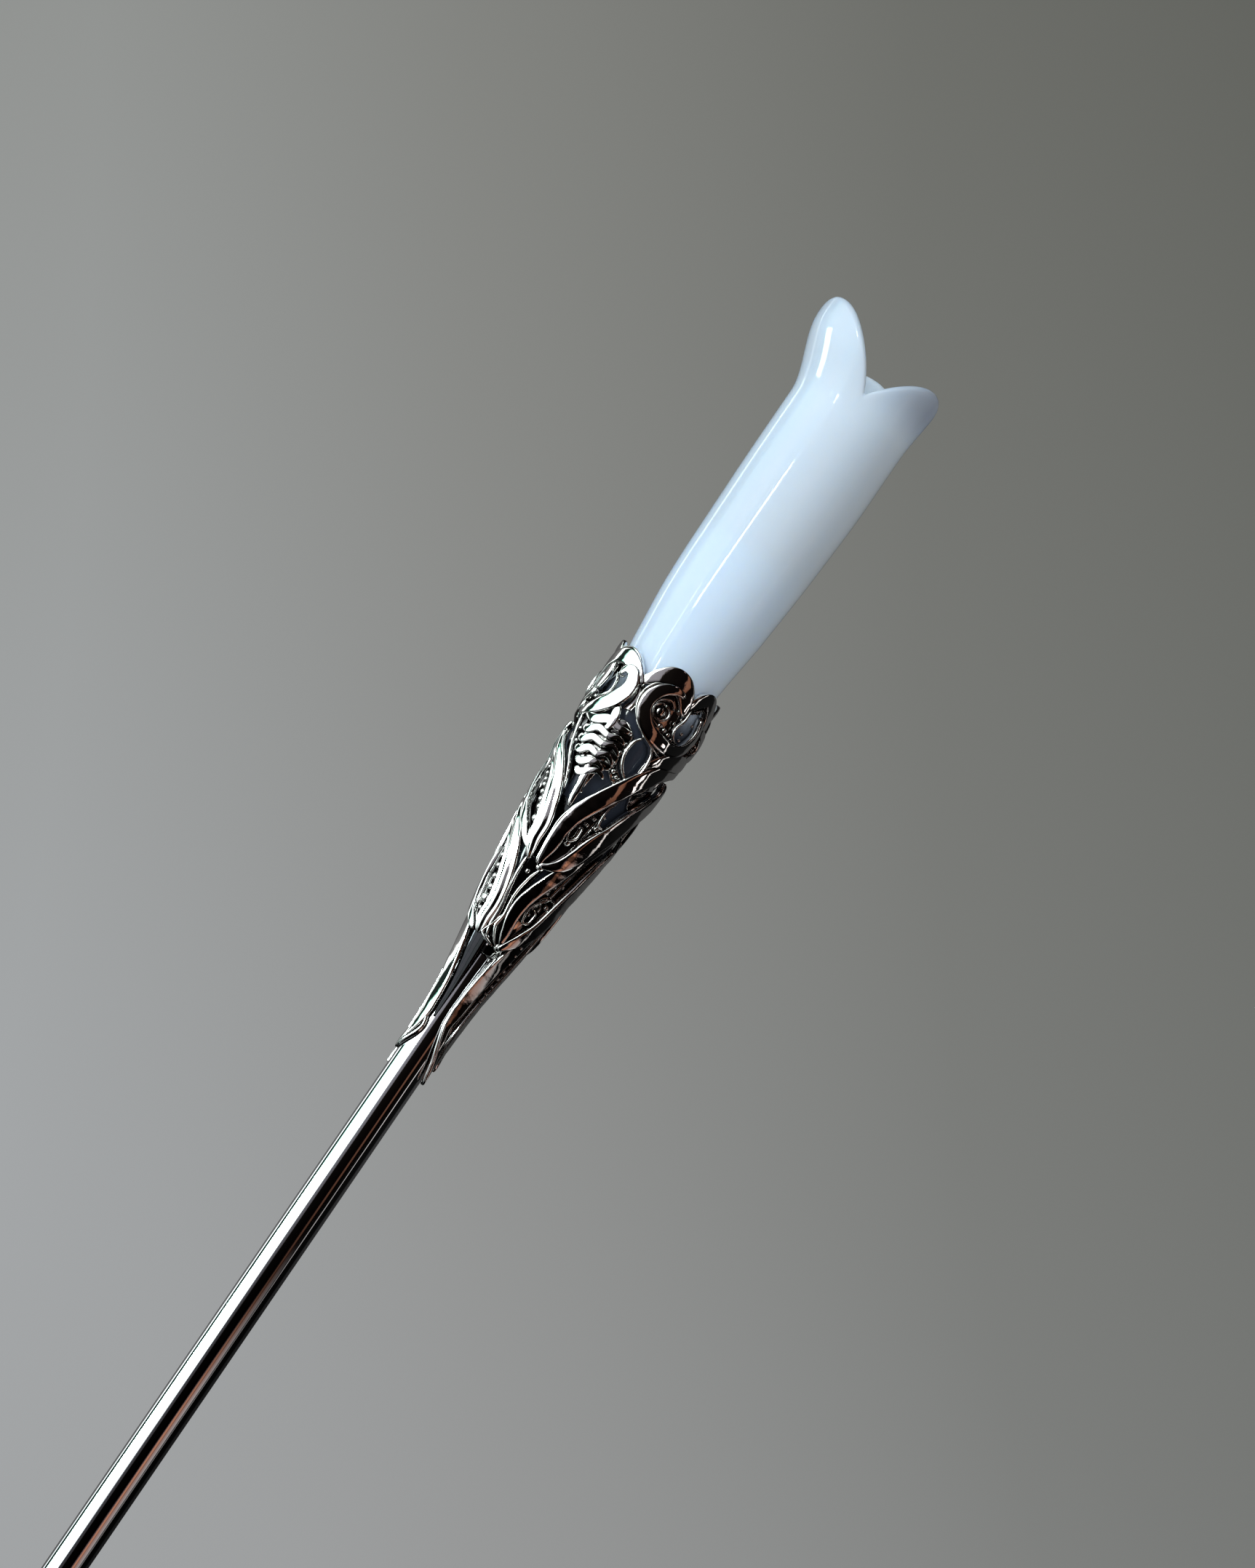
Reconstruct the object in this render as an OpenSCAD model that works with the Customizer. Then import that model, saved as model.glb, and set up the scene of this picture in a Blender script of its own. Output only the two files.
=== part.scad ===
// Dip pen with a slim plated rod, an openwork leaf calyx and an opal glass flower.
// z = 0 is the nib's point and +Z runs up the rod to the petals.
// Azimuth 0 is the front (-Y), and it grows towards +X.

/* [Pen] */
// Length from the nib's point to the tip of the tallest petal
pen_length = 190; // [188:1:194]
// Diameter of the polished rod
rod_d = 3.5; // [3.4:0.1:3.6]
// Height at which the rod ends inside the calyx
rod_top_z = 123; // [122:0.5:124]

/* [Nib] */
// Length of the pressed steel nib
nib_length = 38; // [36:1:40]
// Thickness of the nib's steel
nib_wall = 0.3; // [0.25:0.05:0.35]
// Radius of the nib's shank, outside
nib_r = 3.42; // [3.4:0.01:3.44]
// Width of the slit between the tines
slit_w = 0.2; // [0.15:0.05:0.3]

/* [Nib holder] */
// Radius of the ferrule, outside
ferrule_r = 3.8; // [3.8:0.05:3.9]
// Radius of the ferrule, inside
ferrule_bore_r = 3.5; // [3.48:0.01:3.5]
// Height of the ferrule's mouth
ferrule_z = 26; // [25:1:27]
// Length of the ferrule
ferrule_length = 20; // [19.5:0.5:21]
// Width of the four slots between the clip's prongs
prong_slot = 1.4; // [1.2:0.1:1.6]

/* [Flower] */
// Radius of the glass tube where the petals part
flower_r = 6; // [5.9:0.05:6.1]
// Thickness of the glass at the petals
glass_wall = 1.1; // [0.9:0.1:1.3]
// Height of the hollow's floor
hollow_z = 166; // [162:1:170]
// Height of the notches between the petals
valley_z = 183; // [182:0.5:184]

/* [Calyx] */
// Thickness of the cast leaves
leaf_t = 0.6; // [0.5:0.05:0.7]
// Width of the rims that edge each leaf
rim_w = 0.8; // [0.7:0.05:0.9]
// Radius of the bead at each leaf's point
tip_bead_r = 0.42; // [0.35:0.01:0.5]

/* [Hidden] */

FRONT = 0;
BACK = 180;
PLATE = [0.80, 0.81, 0.83];
STEEL = [0.55, 0.58, 0.63];

rod_r = rod_d / 2;
ferrule_top_z = ferrule_z + ferrule_length;
reducer_top_z = ferrule_top_z + 6.4;
socket_z = ferrule_top_z - 4;
clip_z = nib_length + 0.4;
clip_r = nib_r - nib_wall - 0.08;
shoulder_z = 15;
peg_x = -0.2;
peg_r = 0.8;
cement_r = 1.15;
root_z = 127;

// Mid radius of the leaves against height.
CALYX_R = [[106, 1.9], [114, 1.95], [117, 2.05], [120, 2.4], [124, 2.95], [128.5, 3.5],
           [132, 3.95], [138, 4.55], [141, 4.8], [146, 5.0], [150, 5.08], [154, 5.08]];
// Distance of the head's middle from the rod's axis against height.
HEAD_X = [[108, 0.1], [116, 0.1], [124, -0.05], [130, -0.25], [148, -0.2], [154, -0.4],
          [160, -0.37], [168, -0.2], [176, -0.1], [190, -0.1]];
// Outside radius of the glass against height.
GLASS_R = [[127, 1.9], [132, 3.0], [140, 4.15], [148, 4.6], [152, 4.66], [154, 4.82], [160, 5.42],
           [168, 5.8], [176, flower_r], [194, flower_r]];

function head_at(az, z, r) = [lookup(z, HEAD_X) + r * sin(az), -r * cos(az), z];
function on_calyx(az, z, lift) = head_at(az, z, lookup(z, CALYX_R) + lift);
function unit(v) = v / norm(v);

// A smooth curve through a short list of points.
function spline_at(p, i, t) =
  let (a = p[max(i - 1, 0)], b = p[i], c = p[i + 1], d = p[min(i + 2, len(p) - 1)])
  0.5 * (2 * b + (c - a) * t + (2 * a - 5 * b + 4 * c - d) * t * t
    + (3 * b - a - 3 * c + d) * t * t * t);
function spline(p, n) = [
  for (i = [0 : len(p) - 2]) for (k = [0 : n - 1]) spline_at(p, i, k / n),
  p[len(p) - 1]
];

// Faces of a skin over rings of equal size, closed with a flat face at each end.
function skin_faces(count, sides) = concat(
  [[for (j = [sides - 1 : -1 : 0]) j]],
  [for (i = [0 : count - 2]) for (j = [0 : sides - 1])
    let (a = i * sides + j, b = i * sides + (j + 1) % sides)
    each [[a, b, a + sides], [b, b + sides, a + sides]]],
  [[for (j = [0 : sides - 1]) (count - 1) * sides + j]]
);

// A rounded strip laid on the calyx. Each point is [azimuth, height, width, lift].
STRIP_SIDES = 6;
STRIP_STEPS = 3;
module strip(points, turn, thick = leaf_t) {
  path = spline(points, STRIP_STEPS);
  last = len(path) - 1;
  where = [for (p = path) on_calyx(p[0] + turn, p[1], p[3])];
  rings = [
    for (i = [0 : last])
      let (az = path[i][0] + turn,
           along = unit(where[min(i + 1, last)] - where[max(i - 1, 0)]),
           out = [sin(az), -cos(az), 0],
           side = unit(cross(along, out)),
           up = cross(side, along))
      [for (k = [0 : STRIP_SIDES - 1])
        let (a = (k + 0.5) * 360 / STRIP_SIDES)
        where[i] + side * sin(a) * path[i][2] / 2 + up * cos(a) * thick / 2]
  ];
  for (i = [0 : last - 1])
    hull() polyhedron(concat(rings[i], rings[i + 1]), skin_faces(2, STRIP_SIDES));
}

// A low strip between two rims that carries a row of beads.
module rail(points, turn) {
  strip(points, turn, leaf_t * 0.7);
}

// A row of balls on the calyx: each is [azimuth, height, radius, lift].
module bead_row(list, turn) {
  for (b = list)
    translate(on_calyx(b[0] + turn, b[1], b[3])) sphere(r = b[2], $fn = 24);
}

// ---- Nib end ----

module shaft() {
  color(PLATE) translate([0, 0, socket_z]) cylinder(r = rod_r, h = rod_top_z - socket_z, $fn = 64);
}

module reducer() {
  waist_r = rod_r + 0.7;
  color(PLATE) difference() {
    rotate_extrude($fn = 64) polygon([
      [0, socket_z - 1], [ferrule_bore_r, socket_z - 1], [ferrule_bore_r, ferrule_top_z],
      [ferrule_r, ferrule_top_z], [ferrule_r, ferrule_top_z + 0.8],
      [ferrule_r - 0.5, ferrule_top_z + 1.4], [waist_r + 0.5, ferrule_top_z + 3.4],
      [waist_r, reducer_top_z - 1], [rod_r + 0.35, reducer_top_z], [0, reducer_top_z]
    ]);
    translate([0, 0, socket_z]) cylinder(r = rod_r, h = 20, $fn = 64);
  }
}

module grip_ring() {
  color(PLATE) translate([0, 0, reducer_top_z]) difference() {
    cylinder(r = rod_r + 0.6, h = 0.7, $fn = 64);
    translate([0, 0, -1]) cylinder(r = rod_r, h = 3, $fn = 64);
  }
}

module ferrule() {
  color(PLATE) translate([0, 0, ferrule_z]) difference() {
    cylinder(r = ferrule_r, h = ferrule_length, $fn = 96);
    translate([0, 0, -1]) cylinder(r = ferrule_bore_r, h = ferrule_length + 2, $fn = 96);
  }
}

// A spring ring with four prongs that press the nib's shank against the ferrule.
module nib_clip() {
  prong_z = ferrule_z + 1;
  color(STEEL) difference() {
    union() {
      translate([0, 0, clip_z]) cylinder(r = ferrule_bore_r, h = 2.2, $fn = 96);
      translate([0, 0, prong_z]) cylinder(r = clip_r, h = clip_z - prong_z + 1, $fn = 96);
    }
    translate([0, 0, prong_z - 1]) cylinder(r = clip_r - 0.5, h = 20, $fn = 64);
    for (turn = [45, 135]) rotate(turn)
      translate([-prong_slot / 2, -5, prong_z - 1]) cube([prong_slot, 10, clip_z - prong_z]);
  }
}

// Revolved shell of the nib: a straight shank, then narrowing to the point.
module nib_shell(r, below) {
  rotate_extrude($fn = 96) polygon([
    [0, -below], [r - 2.2, -below], [r - 1.7, 4], [r - 0.8, 11],
    [r, shoulder_z + 4], [r, nib_length + below], [0, nib_length + below]
  ]);
}

module nib() {
  half = nib_r + 1;
  hole_z = shoulder_z + 1.2;
  outline = [[0.12, 0], [0.5, 3], [1.4, 8], [2.2, 12], [2.6, shoulder_z], [half, shoulder_z + 3],
             [half, nib_length]];
  mirrored = [for (i = [len(outline) - 1 : -1 : 0]) [-outline[i][0], outline[i][1]]];
  color(STEEL) difference() {
    intersection() {
      difference() {
        nib_shell(nib_r, 0);
        nib_shell(nib_r - nib_wall, 1);
      }
      rotate([90, 0, 0]) linear_extrude(height = half) polygon(concat(outline, mirrored));
    }
    translate([-slit_w / 2, -half, -1]) cube([slit_w, half, hole_z + 1]);
    translate([0, 0, hole_z]) rotate([90, 0, 0]) cylinder(r = 0.7, h = half, $fn = 48);
  }
}

// ---- Flower ----

// Each petal: azimuth of its middle, height of its tip, and how far the tip curls out.
PETALS = [[-62, pen_length, 2.3], [60, pen_length - 2.4, 0.7], [180, pen_length - 1.8, 0.6]];
HALF_PETAL = 60;
curl_z = valley_z - 2;
function turn_between(a, b) = abs((a - b + 540) % 360 - 180);
function petal_at(az) =
  let (near = [for (p = PETALS) turn_between(az, p[0])], best = min(near))
  [min(best / HALF_PETAL, 1), PETALS[search(best, near)[0]]];
function petal_top(az) =
  let (p = petal_at(az)) valley_z + (p[1][1] - valley_z) * pow(cos(p[0] * 90), 0.9);
function curl(az, z) =
  let (p = petal_at(az), h = min(max((z - curl_z) / 7.5, 0), 1))
  p[1][2] * h * h * (3 - 2 * h) * (1 - 0.35 * p[0]);

FLOWER_SIDES = 48;
// A ring round the glass, at a share t of the way from a floor to the petals' edge.
function glass_ring(t, floor_z, drop, inset) = [
  for (k = [0 : FLOWER_SIDES - 1])
    let (az = -k * 360 / FLOWER_SIDES, z = floor_z + (petal_top(az) - drop - floor_z) * t)
    head_at(az, z, lookup(z, GLASS_R) + curl(az, z) - inset)
];
module flower() {
  outside = [0, 0.06, 0.12, 0.2, 0.3, 0.4, 0.5, 0.6, 0.7, 0.8, 0.86, 0.9, 0.93, 0.96, 0.98, 1];
  inside = [1, 0.93, 0.86, 0.78, 0.68, 0.5, 0.3, 0];
  edge = [[0.12, 0.2], [0, 0.5], [0.12, 0.8]];
  rings = concat(
    [for (t = outside) glass_ring(t, root_z, 0.4, 0)],
    [for (e = edge) glass_ring(1, root_z, e[0], e[1] * glass_wall)],
    [for (t = inside) glass_ring(t, hollow_z, 0.4, glass_wall)]
  );
  color([0.8, 0.89, 0.97]) difference() {
    polyhedron([for (r = rings) each r], skin_faces(len(rings), FLOWER_SIDES), convexity = 8);
    translate([peg_x, 0, root_z - 1]) cylinder(r = cement_r, h = 9, $fn = 48);
  }
}

module flower_peg() {
  color(PLATE) translate([peg_x, 0, rod_top_z]) cylinder(r = peg_r, h = root_z + 7 - rod_top_z, $fn = 48);
}

module peg_cement() {
  color("gainsboro") translate([peg_x, 0, root_z]) difference() {
    cylinder(r = cement_r, h = 8, $fn = 48);
    translate([0, 0, -1]) cylinder(r = peg_r, h = 8, $fn = 48);
  }
}

// The cup that the rod, the leaves and the glass root meet in.
function cup_r(z) = lookup(z, CALYX_R) - leaf_t / 2 + 0.04;
module calyx_cup() {
  cup_z = rod_top_z - 1.5;
  cup_top_z = root_z + 0.6;
  color(PLATE) difference() {
    rotate_extrude($fn = 64) polygon([
      [0, cup_z], [rod_r + 0.3, cup_z], [cup_r(rod_top_z), rod_top_z], [cup_r(root_z), root_z],
      [cup_r(root_z), cup_top_z], [2.3, cup_top_z], [2.2, root_z], [0, root_z]
    ]);
    translate([0, 0, cup_z - 1]) cylinder(r = rod_r, h = rod_top_z - cup_z + 1, $fn = 64);
    translate([peg_x, 0, cup_z]) cylinder(r = peg_r, h = 10, $fn = 48);
  }
}

// ---- Calyx rim ----

// Widths of the strips, as shares of the rim's width.
thin = rim_w * 0.7;
wide = rim_w * 1.5;

module rim_scroll(turn) {
  color(PLATE) {
    strip([[-84, 148, thin, 0.1], [-76, 150.2, wide, 0.1], [-52, 151.5, wide, 0.1],
           [-34, 150.9, wide, 0.1], [-26, 149.4, wide, 0.1], [-32, 147.6, wide, 0.2],
           [-48, 146.2, wide, 0.2], [-72, 145.4, thin, 0]], turn);
    strip([[-48, 150.4, thin, 0.1], [-42, 149.2, rim_w, 0.1], [-48, 147.8, rim_w, 0.1],
           [-66, 147, thin, 0]], turn);
  }
}

module volute_lobe(turn) {
  color(PLATE) {
    strip([[-28, 149.9, thin, 0], [-17, 150.4, rim_w, 0], [-8, 151.3, wide, 0], [9, 151.6, wide, 0],
           [23, 151, wide, 0], [32, 150, rim_w, 0], [31, 147.4, thin, 0]], turn);
    strip([[8, 150.8, thin, 0.1], [-8, 150.2, rim_w, 0.15], [-13, 148.8, rim_w, 0.15],
           [-8, 147.2, rim_w, 0.15], [8, 146, rim_w, 0.15], [28, 145.4, rim_w, 0.1],
           [40, 145.6, thin, 0]], turn);
    strip([[13, 148.4, thin, 0.1], [22, 149.2, thin, 0.15], [12, 150.2, rim_w, 0.2], [-1, 149.4, rim_w, 0.25],
           [0, 147.8, rim_w, 0.25], [14, 146.8, rim_w, 0.25], [32, 146.4, rim_w, 0.2],
           [48, 146.8, rim_w, 0.1]], turn);
    rail([[2, 148, thin, 0], [14, 147.6, thin, 0], [42, 147.4, thin, 0], [50, 146.8, thin, 0]], turn);
  }
}

module tall_lobe(turn) {
  color(PLATE) {
    strip([[34, 150.2, thin, 0], [42, 151.2, rim_w, 0], [56, 152, wide, 0],
           [68, 151, wide, 0], [68, 149.2, rim_w, 0.1], [60, 147.4, rim_w, 0.1],
           [46, 146.4, thin, 0.1]], turn);
    strip([[66, 149, thin, 0.1], [78, 148.6, wide, 0.3], [82, 147, wide, 0.3],
           [70, 146.2, rim_w, 0.1]], turn);
  }
}

module rim_band(turn) {
  color(PLATE) {
    strip([[110, 147.2, thin, 0.1], [90, 146.3, wide, 0.1], [62, 145.8, wide, 0.1],
           [44, 145, wide, 0.1], [31, 144.2, rim_w, 0.1], [29, 142.8, thin, 0]], turn);
    strip([[74, 150.6, thin, 0], [88, 152, rim_w, 0], [104, 151.6, wide, 0],
           [114, 150, wide, 0], [110, 147.2, rim_w, 0.1]], turn);
  }
}

module acanthus(turn) {
  color(PLATE) {
    strip([[-22, 146.8, thin, 0], [-20, 145.2, wide, 0.15], [-18, 143.4, wide, 0.15],
           [-16, 141.6, wide, 0.15], [-14, 139.6, rim_w, 0.1], [-13, 137, rim_w, 0]], turn);
    for (level = [145.2, 143.6, 142])
      strip([[-64 + (145.2 - level) * 3, level, thin, 0], [-37, level - 0.3, wide, 0.1],
             [-17, level - 0.2, wide, 0.2], [-4, level + 0.1, wide, 0.1], [8, level + 0.2, thin, 0]], turn);
    strip([[9, 145.8, rim_w, 0.05], [7, 143.6, rim_w, 0], [12, 141.6, thin, 0], [20, 140.6, thin, 0]], turn);
  }
}

// ---- Leaves ----

module upper_leaf_right(turn) {
  color(PLATE) {
    strip([[84, 145.3, thin, 0], [54, 144.4, rim_w, 0], [31, 142.4, rim_w, 0], [17, 140.5, rim_w, 0],
           [3, 138.4, rim_w, 0.1], [-8, 136.2, rim_w, 0.1], [-10, 134, rim_w, 0.1],
           [-8, 131.6, thin, 0]], turn);
    strip([[84, 144.2, thin, 0], [56, 142.4, rim_w, 0], [38, 140.6, rim_w, 0], [24, 138.6, rim_w, 0.1],
           [10, 136.6, rim_w, 0.15], [2, 134.6, rim_w, 0.15], [0, 132.8, thin, 0.1],
           [-6, 131.5, thin, 0]], turn);
    strip([[88, 142.4, thin, 0], [66, 140, rim_w, 0], [51, 138, rim_w, 0], [43, 136, rim_w, 0.1],
           [34, 133.6, rim_w, 0.1], [20, 132, rim_w, 0.1], [-4, 131.3, thin, 0]], turn);
    strip([[34, 136.6, thin, 0], [24, 137.2, rim_w, 0.1], [14, 136, rim_w, 0.2], [12, 134.6, thin, 0.2]], turn);
    rail([[32, 141.8, thin, 0], [29, 139.6, thin, 0], [30, 136.8, thin, 0], [31, 134.4, thin, 0], [26, 132.6, thin, 0]], turn);
  }
}

module upper_leaf_left(turn) {
  color(PLATE) {
    strip([[-70, 145.5, thin, 0], [-60, 143, rim_w, 0], [-51, 141, rim_w, 0], [-39, 139, rim_w, 0],
           [-28, 137, rim_w, 0.1], [-20, 135, rim_w, 0.1], [-17, 133, rim_w, 0.1],
           [-18, 131.4, thin, 0]], turn);
    strip([[-92, 142.6, thin, 0], [-73, 141, rim_w, 0], [-54, 138.6, wide, 0.1], [-38, 136.2, wide, 0.15],
           [-28, 134, wide, 0.15], [-23, 132.4, rim_w, 0.1], [-18, 131.4, thin, 0]], turn);
    strip([[-108, 140.4, thin, 0], [-92, 138.6, thin, 0], [-78, 136.6, rim_w, 0], [-64, 135, rim_w, 0.1], [-50, 134, rim_w, 0.1],
           [-36, 132.8, rim_w, 0.1], [-20, 131.5, thin, 0]], turn);
    rail([[-76, 140.2, thin, 0], [-66, 138, thin, 0], [-44, 134.9, thin, 0], [-40, 133.2, thin, 0]], turn);
  }
}

module lower_leaf_right(turn) {
  color(PLATE) {
    strip([[46, 135.4, thin, 0.1], [34, 133.4, rim_w, 0.1], [25, 131.6, rim_w, 0.1], [17, 130, rim_w, 0.1],
           [8, 128.2, rim_w, 0.1], [3, 126.4, rim_w, 0.1], [5, 124.6, thin, 0], [12, 123, thin, 0]], turn);
    strip([[76, 134.8, thin, 0], [66, 132, rim_w, 0], [60, 129.4, rim_w, 0], [54, 127, rim_w, 0.1],
           [44, 125, rim_w, 0.1], [28, 123.4, rim_w, 0.1], [14, 122.8, thin, 0]], turn);
    strip([[54, 127.4, thin, 0], [34, 128.6, rim_w, 0.1], [20, 127.4, rim_w, 0.2], [22, 126, thin, 0.2]], turn);
    rail([[40, 134, thin, 0], [40, 131.8, thin, 0], [38, 129.4, thin, 0], [34, 128, thin, 0]], turn);
    strip([[-8, 131.5, thin, 0], [-8, 128.4, thin, 0], [-6, 126, rim_w, 0], [-14, 124, thin, 0]], turn);
  }
}

module lower_leaf_left(turn) {
  color(PLATE) {
    strip([[-122, 138.8, thin, 0], [-100, 136.8, thin, 0], [-80, 134, rim_w, 0.1], [-62, 131.6, wide, 0.1], [-47, 129.2, wide, 0.15],
           [-36, 126.8, wide, 0.15], [-30, 124.8, rim_w, 0.1], [-29, 123.2, thin, 0]], turn);
    strip([[-114, 133, thin, 0], [-97, 130.4, rim_w, 0], [-87, 127.7, rim_w, 0], [-73, 125.4, rim_w, 0.1],
           [-50, 124, rim_w, 0.1], [-31, 123.2, thin, 0]], turn);
    strip([[-21, 131.5, thin, 0], [-22, 128.6, thin, 0], [-20, 126, rim_w, 0], [-20, 124.4, rim_w, 0],
           [-28, 123.4, thin, 0]], turn);
    rail([[-84, 133, thin, 0], [-74, 131.2, thin, 0], [-52, 126.4, thin, 0], [-48, 124, thin, 0]], turn);
  }
}

// Long smooth tongues that run down the rod, cross over and clasp it.
tongue_t = 0.38;
module tongue_left(turn) {
  color(PLATE) {
    strip([[-84, 127.6, wide, 0], [-78, 124.6, wide, 0], [-68, 121.6, wide, 0], [-60, 118.6, wide, 0],
           [-54, 116.2, rim_w, 0], [-50, 114, rim_w, 0], [-64, 112, rim_w * 0.8, 0],
           [-90, 110.3, 0.3, 0]], turn, tongue_t);
    strip([[-50, 114, rim_w * 0.6, 0], [-38, 112.6, rim_w * 0.7, 0], [-64, 111.4, rim_w * 0.6, 0],
           [-88, 110.4, 0.3, 0]], turn, tongue_t);
  }
}

module tongue_right(turn) {
  color(PLATE) {
    strip([[60, 127.2, wide, 0], [48, 124, rim_w, 0], [36, 121, rim_w, 0], [28, 118.4, rim_w, 0],
           [22, 116, rim_w, 0], [20, 114.4, rim_w * 0.8, 0], [34, 112.6, rim_w * 0.8, 0],
           [52, 110.8, rim_w * 0.6, 0], [66, 109, 0.4, 0]], turn, tongue_t);
    strip([[88, 125.8, rim_w, 0], [84, 122.6, rim_w, 0], [78, 119.6, rim_w, 0], [70, 116.8, rim_w, 0],
           [64, 114.4, rim_w, 0], [62, 112.4, rim_w, 0], [60, 110.4, 0.4, 0]], turn, tongue_t);
    strip([[82, 126.4, thin, 0.03], [74, 124.2, thin, 0.03], [46, 118.2, thin, 0.03], [25, 117, thin, 0.03]], turn, tongue_t);
  }
}

// ---- Beads ----

// A row of beads between two ends, each [azimuth, height, radius, lift].
function row(from, to, count) = [for (i = [0 : count - 1]) from + (to - from) * i / (count - 1)];

module volute_eyes() {
  color(PLATE) for (turn = [FRONT, BACK]) bead_row([[11, 148.5, 0.6, 0.15]], turn);
}

module leaf_beads() {
  rows = [
    row([18, 147.6, 0.26, 0.2], [42, 147.4, 0.2, 0.2], 4),
    row([-66, 138, 0.24, 0.1], [-44, 134.9, 0.34, 0.2], 5),
    row([28, 140, 0.2, 0.1], [30, 134, 0.3, 0.1], 4),
    row([-74, 131.2, 0.24, 0.1], [-52, 126.4, 0.36, 0.1], 6),
    row([40, 131.8, 0.3, 0.1], [38, 129.4, 0.3, 0.1], 3),
    row([76, 124.6, 0.26, 0.1], [48, 117.8, 0.18, 0.1], 7)
  ];
  color(PLATE) for (turn = [FRONT, BACK]) for (list = rows) bead_row(list, turn);
}

module tip_beads() {
  tips = [[0, 130.9, tip_bead_r, 0.1], [14, 122.8, tip_bead_r, 0.1], [-14, 123, tip_bead_r * 0.8, 0.1],
          [28, 133.8, tip_bead_r, 0.1]];
  color(PLATE) for (turn = [FRONT, BACK]) bead_row(tips, turn);
}

shaft();
reducer();
grip_ring();
ferrule();
nib_clip();
nib();
flower();
flower_peg();
peg_cement();
calyx_cup();
rim_scroll(FRONT);  // rim_scroll_front
rim_scroll(BACK);  // rim_scroll_back
volute_lobe(FRONT);  // volute_lobe_front
volute_lobe(BACK);  // volute_lobe_back
tall_lobe(FRONT);  // tall_lobe_front
tall_lobe(BACK);  // tall_lobe_back
rim_band(FRONT);  // rim_band_front
rim_band(BACK);  // rim_band_back
acanthus(FRONT);  // acanthus_front
acanthus(BACK);  // acanthus_back
upper_leaf_left(FRONT);  // upper_leaf_left_front
upper_leaf_right(FRONT);  // upper_leaf_right_front
upper_leaf_left(BACK);  // upper_leaf_left_back
upper_leaf_right(BACK);  // upper_leaf_right_back
lower_leaf_left(FRONT);  // lower_leaf_left_front
lower_leaf_right(FRONT);  // lower_leaf_right_front
lower_leaf_left(BACK);  // lower_leaf_left_back
lower_leaf_right(BACK);  // lower_leaf_right_back
tongue_left(FRONT);  // tongue_left_front
tongue_right(FRONT);  // tongue_right_front
tongue_left(BACK);  // tongue_left_back
tongue_right(BACK);  // tongue_right_back
volute_eyes();
leaf_beads();
tip_beads();
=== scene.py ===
"""Looks of the dip pen: chrome rod and openwork calyx, opal glass flower, steel nib."""
import math

import bmesh
import bpy
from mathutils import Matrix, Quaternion, Vector, noise


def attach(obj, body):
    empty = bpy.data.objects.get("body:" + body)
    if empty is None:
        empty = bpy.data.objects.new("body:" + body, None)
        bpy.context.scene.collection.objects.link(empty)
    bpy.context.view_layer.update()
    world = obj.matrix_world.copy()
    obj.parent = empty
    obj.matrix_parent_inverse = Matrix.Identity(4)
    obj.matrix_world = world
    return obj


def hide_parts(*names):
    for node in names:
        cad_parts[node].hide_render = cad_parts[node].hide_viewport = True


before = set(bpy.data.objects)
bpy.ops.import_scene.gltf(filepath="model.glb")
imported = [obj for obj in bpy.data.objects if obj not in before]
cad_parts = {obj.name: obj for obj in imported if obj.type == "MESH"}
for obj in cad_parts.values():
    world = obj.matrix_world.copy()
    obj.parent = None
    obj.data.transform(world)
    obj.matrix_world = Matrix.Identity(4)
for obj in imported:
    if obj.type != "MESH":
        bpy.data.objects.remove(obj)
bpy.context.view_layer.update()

MM = 0.001

# ---------------------------------------------------------------- shape of the head (mm)
CALYX_R = [(106, 1.9), (114, 1.95), (117, 2.05), (120, 2.4), (124, 2.95), (128.5, 3.5),
           (132, 3.95), (138, 4.55), (141, 4.8), (146, 5.0), (150, 5.08), (154, 5.08)]
HEAD_X = [(108, 0.1), (116, 0.1), (124, -0.05), (130, -0.25), (148, -0.2), (154, -0.4),
          (160, -0.37), (168, -0.2), (176, -0.1), (192, -0.1)]
GLASS_R = [(127, 1.9), (132, 3.0), (140, 4.15), (148, 4.6), (152, 4.66), (154, 4.82),
           (160, 5.42), (168, 5.8), (176, 6.0), (184, 6.0), (194, 6.0)]


def smooth_table(table):
    """A smooth curve through a table of (height, value), without overshoot."""
    n = len(table)
    slopes = []
    for i in range(n):
        if i in (0, n - 1):
            a, b = (table[0], table[1]) if i == 0 else (table[-2], table[-1])
            slopes.append((b[1] - a[1]) / (b[0] - a[0]))
            continue
        left = (table[i][1] - table[i - 1][1]) / (table[i][0] - table[i - 1][0])
        right = (table[i + 1][1] - table[i][1]) / (table[i + 1][0] - table[i][0])
        slopes.append(0 if left * right <= 0 else 2 * left * right / (left + right))

    def at(z):
        if z <= table[0][0]:
            return table[0][1]
        if z >= table[-1][0]:
            return table[-1][1]
        i = next(k for k in range(n - 1) if table[k + 1][0] >= z)
        (z0, v0), (z1, v1) = table[i], table[i + 1]
        h = z1 - z0
        t = (z - z0) / h
        return ((2 * t ** 3 - 3 * t ** 2 + 1) * v0 + (t ** 3 - 2 * t ** 2 + t) * h * slopes[i]
                + (3 * t ** 2 - 2 * t ** 3) * v1 + (t ** 3 - t ** 2) * h * slopes[i + 1])
    return at


calyx_r = smooth_table(CALYX_R)
head_x = smooth_table(HEAD_X)
glass_r = smooth_table(GLASS_R)


def around(az, z, r):
    a = math.radians(az)
    return Vector((head_x(z) + r * math.sin(a), -r * math.cos(a), z))


def on_calyx(az, z, lift):
    return around(az, z, calyx_r(z) + lift)


def smoothstep(t):
    t = min(max(t, 0.0), 1.0)
    return t * t * (3 - 2 * t)


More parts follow.
